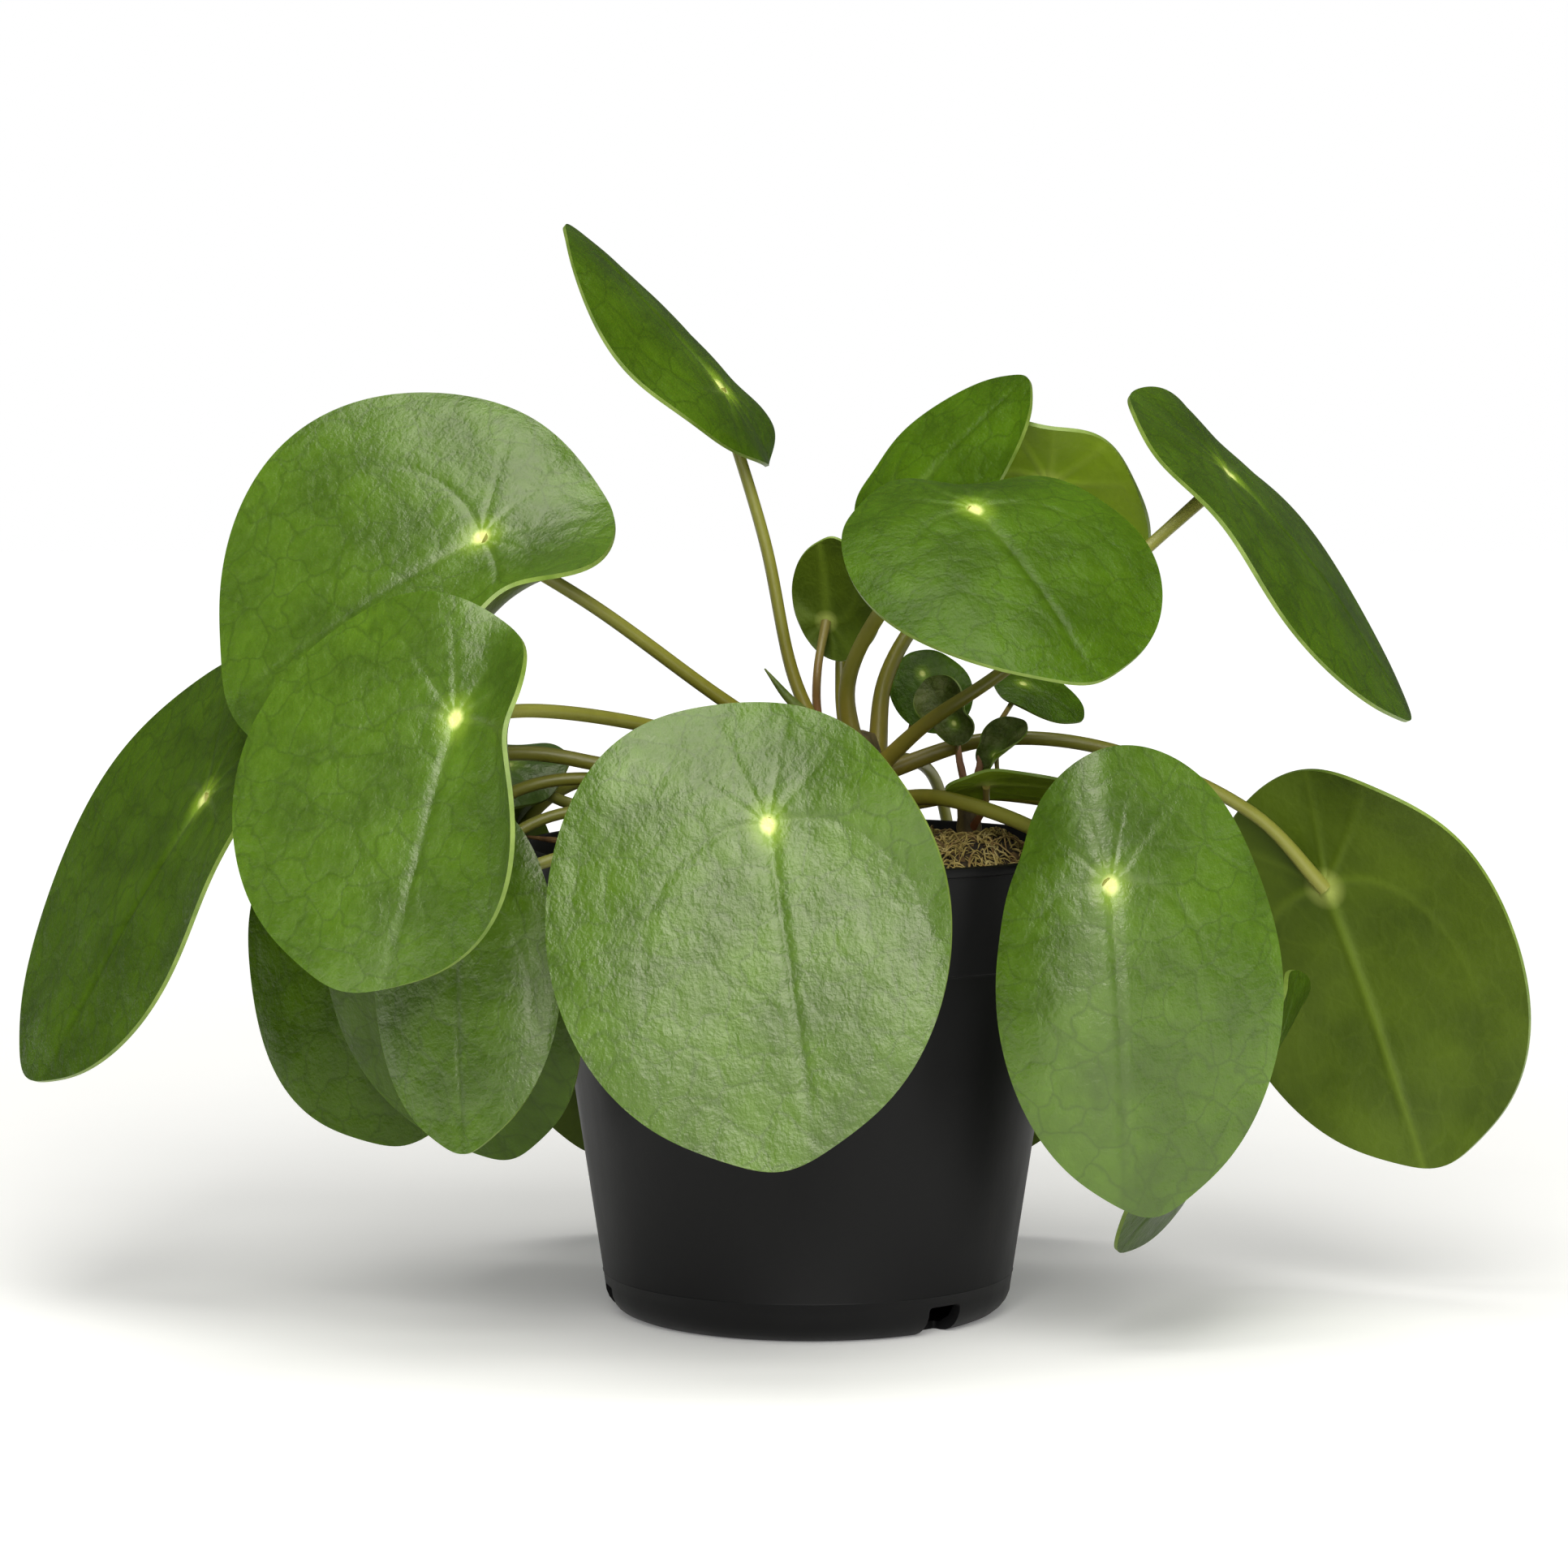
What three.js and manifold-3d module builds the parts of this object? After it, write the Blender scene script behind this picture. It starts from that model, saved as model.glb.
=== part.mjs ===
// A Chinese money plant, Pilea peperomioides, growing in a round black nursery pot.
// Millimetres, +Z up. The origin is the middle of the pot's base, on the floor.
// The front of the plant looks towards -Y, and +X is to the right of the front view.
import * as THREE from 'three';
import Module from 'manifold-3d';
import { mergeVertices } from 'three/addons/utils/BufferGeometryUtils.js';

const wasm = await Module();
wasm.setup();

// ---------------------------------------------------------------- driving dimensions

const GAP = 0.3; // clearance kept between touching pieces

const POT = {
  height: 97.5,
  rimRadius: 60, // outside the top lip
  bandHeight: 22, // the straight band under the lip
  bandFootRadius: 56.8, // outside the band's lower edge
  bodyTopRadius: 52.9, // outside the body, just under the band
  bodyFootRadius: 42.4, // outside the body, above the rounded foot
  footCorner: 6, // height of the rounded corner at the floor
  wall: 1.4,
  base: 1.6,
  lipHeight: 1.8,
  lipProud: 0.6,
  slotWidth: 8.4,
  slotHeight: 6.3,
  slotReach: 8, // how far a drain slot cuts in from the foot
  slotAngles: [-49, -169, 71],
  segments: 48,
};

const SOIL = {
  edgeHeight: 89, // level of the peat at the wall
  crownHeight: 99, // top of the mound round the trunk
  rough: 0.7, // height of the lumps
  segments: 32,
};

const TRUNK = { x: 9, y: 0, radius: 6.5, bottom: 82, top: 121, segments: 12 };

// A young side shoot beside the trunk, which carries the smallest leaves.
const SHOOT = { x: 33, y: -12, radius: 2.6, bottom: 82, top: 112, segments: 10 };

const BLADE = { thickness: 1.1, segments: 18, rings: [0.45, 0.8, 1] };

const STALK_SIDES = 7;

// ---------------------------------------------------------------- colours

const finish = (color, roughness) => new THREE.MeshStandardMaterial({ color, roughness, metalness: 0 });

// ---------------------------------------------------------------- helpers

const radians = THREE.MathUtils.degToRad;

function weld(geometry) {
  const bare = geometry.clone();
  bare.deleteAttribute('normal');
  bare.deleteAttribute('uv');
  return mergeVertices(bare, 1e-4);
}

function toSolid(geometry) {
  const welded = weld(geometry);
  const vertProperties = new Float32Array(welded.attributes.position.array);
  const triVerts = new Uint32Array(welded.index.array);
  return new wasm.Manifold(new wasm.Mesh({ numProp: 3, vertProperties, triVerts }));
}

function toGeometry(solid) {
  const mesh = solid.getMesh();
  const geometry = new THREE.BufferGeometry();
  geometry.setAttribute('position', new THREE.BufferAttribute(new Float32Array(mesh.vertProperties), 3));
  geometry.setIndex(new THREE.BufferAttribute(new Uint32Array(mesh.triVerts), 1));
  geometry.computeVertexNormals();
  return geometry;
}

// A solid of revolution about +Z from a list of [radius, height] pairs.
function turned(profile, segments) {
  const points = profile.map(([radius, height]) => new THREE.Vector2(radius, height));
  return new THREE.LatheGeometry(points, segments).rotateX(Math.PI / 2);
}

const mix = (from, to, share) => from + (to - from) * share;

const plant = new THREE.Group();

function addPiece(name, geometry, material) {
  const mesh = new THREE.Mesh(geometry, material);
  mesh.name = name;
  plant.add(mesh);
  return mesh;
}

// ---------------------------------------------------------------- pot

const potBandFoot = POT.height - POT.bandHeight;

// Inner radius of the pot's body, which is straight between the foot and the band.
function innerBodyRadius(height) {
  const share = (height - POT.footCorner) / (potBandFoot - POT.footCorner);
  return mix(POT.bodyFootRadius, POT.bodyTopRadius, share) - POT.wall;
}

// Inner radius of the band, which is wider than the body.
function innerBandRadius(height) {
  const share = (height - potBandFoot) / POT.bandHeight;
  return mix(POT.bandFootRadius, POT.rimRadius - POT.lipProud, share) - POT.wall;
}

function potProfile() {
  const { height, wall, base, footCorner, lipHeight, lipProud } = POT;
  const flatRadius = POT.bodyFootRadius - footCorner;
  const lipFoot = height - lipHeight;
  return [
    [0, 0],
    [flatRadius, 0],
    [flatRadius + 3, 0.8],
    [flatRadius + 5.2, 2.9],
    [POT.bodyFootRadius, footCorner],
    [POT.bodyTopRadius, potBandFoot - 1],
    [POT.bandFootRadius, potBandFoot],
    [POT.rimRadius - lipProud, lipFoot],
    [POT.rimRadius, lipFoot + 0.3],
    [POT.rimRadius, height - 0.4],
    [POT.rimRadius - 0.5, height],
    [POT.rimRadius - lipProud - wall, height],
    [innerBandRadius(potBandFoot + wall), potBandFoot + wall],
    [innerBodyRadius(potBandFoot - 1), potBandFoot + 0.4],
    [innerBodyRadius(footCorner), footCorner + 0.6],
    [flatRadius + 2.6, base + 1.8],
    [flatRadius - 0.4, base],
    [0, base],
  ];
}

function drainSlot(angle) {
  const { slotWidth, slotHeight, slotReach, bodyFootRadius } = POT;
  const overshoot = 4;
  const box = new THREE.BoxGeometry(slotReach + overshoot, slotWidth, 2 * slotHeight);
  box.translate(bodyFootRadius - slotReach + (slotReach + overshoot) / 2, 0, 0);
  return box.rotateZ(radians(angle));
}

function makePot() {
  let solid = toSolid(turned(potProfile(), POT.segments));
  for (const angle of POT.slotAngles) {
    solid = solid.subtract(toSolid(drainSlot(angle)));
  }
  return toGeometry(solid);
}

// ---------------------------------------------------------------- soil and trunk

// Height of the peat: a low mound round the trunk, with small lumps.
function soilHeight(x, y) {
  const away = Math.hypot(x - TRUNK.x, y - TRUNK.y) / 48;
  const mound = mix(SOIL.crownHeight, SOIL.edgeHeight, Math.min(1, away) ** 1.5);
  const lumps = Math.sin(x * 0.31 + 1) * Math.cos(y * 0.27) + 0.6 * Math.sin(x * 0.11 - y * 0.19);
  return mound + SOIL.rough * lumps;
}

// The hole that a stem fills in the peat, wider than the stem by the gap all round.
function stemSocket({ x, y, radius, bottom, segments }) {
  const length = 60;
  const wide = (radius + GAP) / Math.cos(Math.PI / segments);
  const socket = new THREE.CylinderGeometry(wide, wide, length, segments);
  return socket.rotateX(Math.PI / 2).translate(x, y, bottom - GAP + length / 2);
}

function makeSoil() {
  const floor = POT.base + 5;
  const top = innerBandRadius(SOIL.edgeHeight - 2) - GAP;
  const profile = [
    [0, floor],
    [innerBodyRadius(floor) - 5, floor],
    [innerBodyRadius(floor + 6) - GAP, floor + 6],
    [innerBodyRadius(potBandFoot - 1) - GAP, potBandFoot],
    [innerBodyRadius(potBandFoot - 1) - GAP, potBandFoot + 3],
    [innerBandRadius(potBandFoot + 4) - GAP, potBandFoot + 4],
    [top, SOIL.edgeHeight - 2],
    [top - 2, SOIL.edgeHeight],
    [40, SOIL.edgeHeight],
    [28, SOIL.edgeHeight],
    [16, SOIL.edgeHeight],
    [0, SOIL.edgeHeight],
  ];
  const geometry = turned(profile, SOIL.segments);
  const position = geometry.attributes.position;
  for (let i = 0; i < position.count; i += 1) {
    const [x, y, z] = [position.getX(i), position.getY(i), position.getZ(i)];
    if (z > SOIL.edgeHeight - 0.5) {
      position.setZ(i, soilHeight(x, y));
    }
  }
  let solid = toSolid(geometry);
  for (const stem of [TRUNK, SHOOT]) {
    solid = solid.subtract(toSolid(stemSocket(stem)));
  }
  return toGeometry(solid);
}

function makeStem({ x, y, radius, bottom, top, segments }) {
  const profile = [
    [0, bottom],
    [radius, bottom],
    [radius, top - 0.4 * radius],
    [0.6 * radius, top - 0.1 * radius],
    [0, top],
  ];
  return turned(profile, segments).translate(x, y, 0);
}

// ---------------------------------------------------------------- leaves

// Each leaf is a shield: the stalk joins the underside at the pale dot, about 30% of the
// length from the round end.
//   dot    where the stalk joins, on the middle of the blade
//   tip    the way from the dot to the pointed end
//   face   the way the upper side looks at the dot
//   size   length and width of the blade when flat, and how far its middle lies to the left
//          of the dot
//   curl   degrees that the edge has turned down at the tip, round end, left and right,
//          seen from above with the tip pointing away
//   root   compass angle and height at which the stalk leaves the stem
//   on     the stem that it grows on, the trunk unless it says so
//   via    points that the stalk passes on its way
const LEAVES = [
  { name: 'a', dot: [-18, 5, 192], tip: [-66, 5, 75], face: [68, -23, 60], size: [64, 52, 0],
    curl: [10, 15, 20, 20], root: [150, 116], via: [[-3, 4, 132], [-9, 5, 160]], stalk: 2.6 },
  { name: 'b', dot: [-66, -27, 162], tip: [-80, -15, -35], face: [-20, -85, 50], size: [88, 88, 0],
    curl: [25, 28, -74, 10], root: [202, 113], via: [[-19, -9, 129], [-44, -20, 148]], stalk: 2.9 },
  { name: 'c', dot: [-68, -77, 129], tip: [-28, -25, -90], face: [-35, -88, 30], size: [77, 71, -9],
    curl: [10, 8, -66, 15], root: [226, 111], via: [[-28, -27, 123], [-54, -55, 129]], stalk: 2.9 },
  { name: 'd', dot: [-125, -4, 107], tip: [-55, 0, -84], face: [-76, -42, 50], size: [98, 80, -10],
    curl: [10, 10, -2, -6], root: [187, 109], via: [[-39, -8, 114], [-60, -9, 117]], stalk: 3.1 },
  { name: 'e', dot: [-8, -82, 109], tip: [14, -30, -92], face: [-5, -92, 30], size: [91, 78, -7],
    curl: [10, 20, -22, 10], root: [262, 107], via: [[-1, -40, 117]], stalk: 3.1 },
  { name: 'f', dot: [59, -60, 95], tip: [8, -20, -95], face: [15, -95, 15], size: [92, 61, 6],
    curl: [15, 10, 10, 40], root: [312, 106], via: [[27, -24, 109], [45, -37, 104]], stalk: 3.2 },
  { name: 'g', dot: [109, 12, 87], tip: [44, 20, -85], face: [45, 85, 25], size: [88, 70, -4],
    curl: [10, 20, 20, 15], root: [4, 112], via: [[37, 0, 119], [62, 2, 117], [93, 7, 103]], stalk: 2.9 },
  { name: 'h', dot: [33, -40, 168], tip: [40, -72, -50], face: [5, -48, 88], size: [74, 62, -1],
    curl: [20, 30, 15, 15], root: [278, 116], via: [[8, -10, 131], [15, -18, 147]], stalk: 3.2 },
  { name: 'i', dot: [20, 24, 167], tip: [80, 15, 66], face: [-55, -70, 45], size: [52, 33, 0],
    curl: [10, 15, 25, 10], root: [95, 116], via: [[7, 16, 128], [9, 28, 144], [22, 35, 160]], stalk: 2.4 },
  { name: 'j', dot: [51.6, 36, 171], tip: [-35, 35, -65], face: [25, 75, 50], size: [62, 56, 0],
    curl: [10, 20, 20, 15], root: [20, 116], via: [[16, 4, 131], [24, 9, 145]], stalk: 3.1 },
  { name: 'k', dot: [87, 0, 174], tip: [70, 0, -68], face: [66, -22, 68], size: [88, 66, 0],
    curl: [20, 10, 5, 15], root: [330, 113], via: [[24, -10, 123], [41, -13, 135]], stalk: 2.8 },
  { name: 'l', dot: [4, 14, 143], tip: [5, 5, 92], face: [25, 85, 25], size: [28, 20, 3],
    curl: [20, 30, 30, 30], root: [130, 111], via: [[2, 8, 124], [2, 7, 133]], stalk: 1.9 },
  { name: 't', dot: [-64, 18, 112], tip: [-60, 20, -25], face: [-20, -35, 90], size: [46, 40, 0],
    curl: [20, 20, 20, 20], root: [168, 104], via: [[-20, 8, 107], [-48, 14, 104]], stalk: 2.6 },
  { name: 'u', dot: [-70, -52, 92], tip: [6, -15, -92], face: [-50, -82, 20], size: [70, 43, 0],
    curl: [10, 20, 30, 15], root: [240, 103], via: [[-20, -36, 105], [-52, -53, 99]], stalk: 2.6 },
  { name: 'v', dot: [-78, -33, 84], tip: [20, 0, -92], face: [-35, -80, -20], size: [74, 57, 0],
    curl: [10, 10, 20, 20], root: [216, 103], via: [[-30, -20, 107], [-56, -26, 104]], stalk: 2.4 },
  { name: 'w', dot: [-90, -6, 86], tip: [25, 12, -80], face: [-40, -85, 10], size: [70, 66, -3],
    curl: [10, 10, 10, 15], root: [196, 103], via: [[-30, -5, 110], [-58, -9, 110]], stalk: 2.7 },
  { name: 'x', dot: [-69, 31, 88], tip: [-5, 10, -90], face: [-70, 40, 30], size: [60, 48, 0],
    curl: [10, 10, 10, 15], root: [150, 108], via: [[-34, 22, 111], [-54, 31, 105]], stalk: 2.7 },
  { name: 'y', dot: [-34, 74, 76], tip: [-12, -8, -92], face: [-30, 90, 30], size: [82, 60, 0],
    curl: [10, 20, 20, 20], root: [118, 108], via: [[-13, 40, 112], [-24, 55, 106], [-31, 61, 90]], stalk: 2.8 },
  { name: 'z', dot: [93.5, -18, 54], tip: [-55, -24, -79], face: [82, -29, -48], size: [68, 48, 0],
    curl: [10, 20, 10, 10], root: [350, 105], via: [[40, -4, 108], [68, -9, 100], [85, -14, 76]], stalk: 2.6 },
  { name: 'o', dot: [34, 77, 72], tip: [12, -8, -92], face: [35, 88, 30], size: [76, 62, 0],
    curl: [10, 20, 20, 20], root: [72, 109], via: [[21, 38, 112], [28, 56, 106], [32, 64, 90]], stalk: 2.7 },
  { name: 'n', dot: [24, 12, 132], tip: [25, 20, -60], face: [-10, -80, 50], size: [20, 17, 0],
    curl: [20, 20, 20, 20], root: [45, 107], via: [[21, 9, 119], [23, 14, 128]], stalk: 1.3 },
  { name: 'p', dot: [30, -7, 123], tip: [-40, -5, 60], face: [-20, -80, 20], size: [16, 12, 0],
    curl: [10, 10, -40, -40], root: [100, 107], via: [[31, -4.5, 115]], stalk: 1, on: SHOOT },
  { name: 'q', dot: [38, -14, 117], tip: [60, 0, 70], face: [-50, -70, 40], size: [13, 10, 0],
    curl: [10, 10, -60, -60], root: [330, 106], via: [[38.5, -13.5, 111]], stalk: 1, on: SHOOT },
  { name: 'r', dot: [45, 10, 130], tip: [60, -30, -30], face: [10, -45, 85], size: [21, 15, 0],
    curl: [20, 20, 10, 10], root: [60, 109], via: [[38, -6, 120], [42, 6, 125.5]], stalk: 1.2, on: SHOOT },
  { name: 's', dot: [36, -23, 112], tip: [60, 0, 4], face: [-3, 40, 90], size: [28, 17, 0],
    curl: [15, 15, 5, 5], root: [290, 102], via: [[36, -19, 107]], stalk: 1.4, on: SHOOT },
];

// Small pointed pieces: the sheaths round the shoot's top, the trunk's own bud, and a
// withered stalk lying across the peat. Each is a thin spike from foot to point.
const SPIKES = [
  { name: 'stipule_left', foot: [32, -13, 112.8], point: [31, -15.5, 119], width: 1.6, color: '#a07a58' },
  { name: 'stipule_right', foot: [34.3, -13, 112.8], point: [34.6, -15.5, 117], width: 1.6, color: '#a07a58' },
  { name: 'trunk_bud', foot: [4.5, -1, 121.5], point: [-9, -3, 134], width: 2.2, color: '#56651f' },
  { name: 'withered_stalk', foot: [-22, -16, 95.4], point: [-59, -20, 101], width: 2.4, color: '#7a5c33' },
];

function leafFrame(leaf) {
  const normal = new THREE.Vector3(...leaf.face).normalize();
  const forward = new THREE.Vector3(...leaf.tip).projectOnPlane(normal).normalize();
  const left = new THREE.Vector3().crossVectors(normal, forward);
  return new THREE.Matrix4().makeBasis(forward, left, normal).setPosition(...leaf.dot);
}

// A point of the blade in its own frame: share runs from the dot to the edge, angle goes
// round from the tip, and lift is the height above the blade's middle surface.
function bladePoint(leaf, share, angle, lift) {
  const [length, width, aside] = leaf.size;
  const [curlTip, curlBase, curlLeft, curlRight] = leaf.curl.map(radians);
  const point = 1 + 0.05 * Math.max(0, Math.cos(angle)) ** 30;
  const along = share * (0.2 * length + 0.5 * length * Math.cos(angle) * point);
  const across = share * (aside + 0.5 * width * Math.sin(angle));
  const reach = Math.hypot(along, across);
  const heading = Math.atan2(across, along);
  const lengthwise = along > 0 ? curlTip : curlBase;
  const crosswise = across > 0 ? curlLeft : curlRight;
  const bend = share * (lengthwise * Math.cos(heading) ** 2 + crosswise * Math.sin(heading) ** 2);
  const straight = Math.abs(bend) < 1e-4;
  const out = straight ? reach : (reach * Math.sin(bend)) / bend;
  const drop = straight ? 0 : (reach * (1 - Math.cos(bend))) / bend;
  const spread = out + lift * Math.sin(bend);
  return new THREE.Vector3(
    spread * Math.cos(heading),
    spread * Math.sin(heading),
    lift * Math.cos(bend) - drop,
  );
}

function makeBlade(leaf) {
  const half = BLADE.thickness / 2;
  const lower = BLADE.rings.map((ring) => [ring, -half]);
  const upper = BLADE.rings.map((ring) => [ring, half]).reverse();
  const geometry = weld(turned([[0, -half], ...lower, ...upper, [0, half]], BLADE.segments));
  const frame = leafFrame(leaf);
  const position = geometry.attributes.position;
  for (let i = 0; i < position.count; i += 1) {
    const [x, y, z] = [position.getX(i), position.getY(i), position.getZ(i)];
    const place = bladePoint(leaf, Math.hypot(x, y), Math.atan2(y, x), z).applyMatrix4(frame);
    position.setXYZ(i, place.x, place.y, place.z);
  }
  geometry.computeVertexNormals();
  return geometry;
}

// The stalk leaves the trunk, passes its via points and stops just under the dot.
function stalkCurve(leaf) {
  const [compass, height] = leaf.root;
  const radius = leaf.stalk / 2;
  const outward = new THREE.Vector3(Math.cos(radians(compass)), Math.sin(radians(compass)), 0);
  const stem = leaf.on ?? TRUNK;
  const start = new THREE.Vector3(stem.x, stem.y, height);
  start.addScaledVector(outward, stem.radius + GAP + radius * 0.9);
  const normal = new THREE.Vector3(...leaf.face).normalize();
  const end = new THREE.Vector3(...leaf.dot);
  end.addScaledVector(normal, -(BLADE.thickness / 2 + GAP + radius * 0.9));
  const middle = leaf.via.map((place) => new THREE.Vector3(...place));
  return new THREE.CatmullRomCurve3([start, ...middle, end], false, 'centripetal');
}

function makeStalk(leaf) {
  const section = new THREE.Shape().absarc(0, 0, leaf.stalk / 2, 0, 2 * Math.PI);
  const path = stalkCurve(leaf);
  const steps = Math.max(5, Math.round(path.getLength() / 9));
  const options = { steps, curveSegments: STALK_SIDES, bevelEnabled: false, extrudePath: path };
  return new THREE.ExtrudeGeometry(section, options);
}

// A slim closed spike, widest a third of the way along.
function makeSpike({ foot, point, width }) {
  const from = new THREE.Vector3(...foot);
  const along = new THREE.Vector3(...point).sub(from);
  const length = along.length();
  const profile = [
    [0, 0],
    [0.3 * width, 0],
    [0.5 * width, 0.35 * length],
    [0.3 * width, 0.75 * length],
    [0, length],
  ];
  const up = new THREE.Vector3(0, 0, 1);
  const turn = new THREE.Quaternion().setFromUnitVectors(up, along.normalize());
  return turned(profile, 8).applyQuaternion(turn).translate(...foot);
}

// ---------------------------------------------------------------- assembly

addPiece('pot', makePot(), finish('#1f1f1f', 0.55));
addPiece('soil', makeSoil(), finish('#2a2012', 0.95));
addPiece('trunk', makeStem(TRUNK), finish('#6b5a34', 0.8));
addPiece('side_shoot', makeStem(SHOOT), finish('#7d6a45', 0.7));
for (const leaf of LEAVES) {
  addPiece(`leaf_${leaf.name}`, makeBlade(leaf), finish('#4f7a1c', 0.4));
  addPiece(`stalk_${leaf.name}`, makeStalk(leaf), finish('#77752f', 0.5));
}
for (const spike of SPIKES) {
  addPiece(spike.name, makeSpike(spike), finish(spike.color, 0.7));
}

export default plant;
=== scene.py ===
"""A Chinese money plant, Pilea peperomioides, in a black nursery pot of peat.

Lengths in the tables are millimetres; Blender works in metres. The frame is the one of the
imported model: +Z up, +X to the right of the front view, the pot's underside on Z = 0.
"""
import logging
import math
from dataclasses import dataclass, field
from enum import Enum

import bpy
import numpy as np
from mathutils import Matrix, Vector, noise


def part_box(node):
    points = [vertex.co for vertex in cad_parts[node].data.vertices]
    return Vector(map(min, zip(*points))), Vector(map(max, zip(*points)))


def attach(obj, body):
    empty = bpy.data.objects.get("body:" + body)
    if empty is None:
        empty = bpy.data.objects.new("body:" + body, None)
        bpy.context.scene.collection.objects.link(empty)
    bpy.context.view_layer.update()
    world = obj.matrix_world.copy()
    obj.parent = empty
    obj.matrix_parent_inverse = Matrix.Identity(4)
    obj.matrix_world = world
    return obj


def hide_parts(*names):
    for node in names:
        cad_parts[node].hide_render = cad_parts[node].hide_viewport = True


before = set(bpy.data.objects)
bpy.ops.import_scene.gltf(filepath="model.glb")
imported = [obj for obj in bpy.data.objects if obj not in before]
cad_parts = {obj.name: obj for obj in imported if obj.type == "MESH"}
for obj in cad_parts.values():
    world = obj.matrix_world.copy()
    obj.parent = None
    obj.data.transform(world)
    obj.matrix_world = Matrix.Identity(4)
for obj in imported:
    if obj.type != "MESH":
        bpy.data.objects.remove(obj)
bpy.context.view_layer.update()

LOG = logging.getLogger("money_plant")
BODY = "root"
METRE = 1000.0  # millimetres
UV_SPAN = 100.0  # millimetres of blade to one unit of its UV map
Point = tuple[float, float, float]


# ------------------------------------------------------------------ small tools


def mm(length: float) -> float:
    """Return a length of millimetres in metres."""
    return length / METRE


def linear(code: str) -> tuple[float, float, float, float]:
    """Turn an sRGB hex colour into linear light.

    Args:
        code: six hex digits after a hash sign.

    Returns:
        Red, green, blue and an alpha of one.
    """
    shares = [int(code[i:i + 2], 16) / 255 for i in (1, 3, 5)]
    light = [s / 12.92 if s <= 0.04045 else ((s + 0.055) / 1.055) ** 2.4 for s in shares]
    return (light[0], light[1], light[2], 1.0)


def add(tree: bpy.types.NodeTree, kind: str, inputs: dict | None = None,
        stops: tuple[tuple[float, str], ...] = (), **settings: object) -> bpy.types.Node:
    """Add one node, with its settings, values and links.

    Args:
        tree: the material's node tree.
        kind: the node's type name without the ShaderNode prefix.
        inputs: socket name or index to a value, or to a socket that is linked in.
        stops: position and sRGB hex colour of each stop of a colour ramp, in order.
        settings: properties of the node.

    Returns:
        The new node.
    """
    node = tree.nodes.new("ShaderNode" + kind)
    for key, value in settings.items():
        setattr(node, key, value)
    for key, value in (inputs or {}).items():
        if isinstance(value, bpy.types.NodeSocket):
            tree.links.new(value, node.inputs[key])
        else:
            node.inputs[key].default_value = value
    if stops:
        elements = node.color_ramp.elements
        while len(elements) < len(stops):
            elements.new(0.5)
        for element, (position, code) in zip(elements, stops):
            element.position = position
            element.color = linear(code)
    return node


def new_finish(name: str) -> tuple[bpy.types.Material, bpy.types.NodeTree, bpy.types.Node]:
    """Make a material, and return it with its node tree and its shader."""
    material = bpy.data.materials.new(name)
    material.use_nodes = True
    tree = material.node_tree
    return material, tree, tree.nodes["Principled BSDF"]


def dress(tree: bpy.types.NodeTree, shader: bpy.types.Node, patterned: dict[str, bpy.types.NodeSocket],
          constant: dict[str, object]) -> None:
    """Link a shader's patterned inputs, and set its constant ones.

    Args:
        tree: the material's node tree.
        shader: the material's shader.
        patterned: input name to the socket that is linked in.
        constant: input name to its value.
    """
    for key, socket in patterned.items():
        tree.links.new(socket, shader.inputs[key])
    for key, value in constant.items():
        shader.inputs[key].default_value = value


def mesh_piece(name: str, points: list[Point], faces: list[tuple[int, ...]],
               material: bpy.types.Material) -> bpy.types.Object:
    """Put a mesh of many small repeated shapes into the scene.

    Args:
        name: the piece's name.
        points: its points, in metres.
        faces: point numbers of each face.
        material: its finish.

    Returns:
        The piece.
    """
    mesh = bpy.data.meshes.new(name)
    mesh.from_pydata(points, [], faces)
    mesh.materials.append(material)
    piece = bpy.data.objects.new(name, mesh)
    bpy.context.scene.collection.objects.link(piece)
    return piece


def deselect() -> None:
    """Leave edit mode and clear the selection, so that an operator acts on new work only."""
    if bpy.context.object is not None and bpy.context.object.mode != "OBJECT":
        bpy.ops.object.mode_set(mode="OBJECT")
    bpy.ops.object.select_all(action="DESELECT")


def activate(piece: bpy.types.Object) -> None:
    """Make one piece the only selected and the active one."""
    deselect()
    piece.select_set(True)
    bpy.context.view_layer.objects.active = piece


def apply_modifier(piece: bpy.types.Object, kind: str, **settings: object) -> None:
    """Add a modifier with its settings and apply it.

    Args:
        piece: the mesh object.
        kind: the modifier's type.
        settings: properties of the modifier.
    """
    activate(piece)
    modifier = piece.modifiers.new(kind.title(), kind)
    for key, value in settings.items():
        setattr(modifier, key, value)
    bpy.ops.object.modifier_apply(modifier=modifier.name)


def ringed_disc(name: str, radii: list[float], segments: int) -> bpy.types.Object:
    """Model a flat disc of rings by extruding a circle inwards and merging its middle.

    Args:
        name: the object's name.
        radii: ring radii from the outside in, in metres, without the centre.
        segments: edges round each ring.

    Returns:
        The disc, facing up, centred on the origin.
    """
    deselect()
    bpy.ops.mesh.primitive_circle_add(vertices=segments, radius=radii[0], fill_type="NOTHING")
    disc = bpy.context.object
    disc.name = name
    bpy.ops.object.mode_set(mode="EDIT")
    bpy.ops.mesh.select_all(action="SELECT")
    for outer, inner in zip(radii, radii[1:]):
        bpy.ops.mesh.extrude_edges_move()
        share = inner / outer
        bpy.ops.transform.resize(value=(share, share, 1))
    bpy.ops.mesh.extrude_edges_move()
    bpy.ops.mesh.merge(type="CENTER")
    bpy.ops.mesh.select_all(action="SELECT")
    bpy.ops.mesh.normals_make_consistent(inside=False)
    bpy.ops.object.mode_set(mode="OBJECT")
    if disc.data.polygons[0].normal.z < 0:
        disc.data.flip_normals()
    return disc


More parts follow.
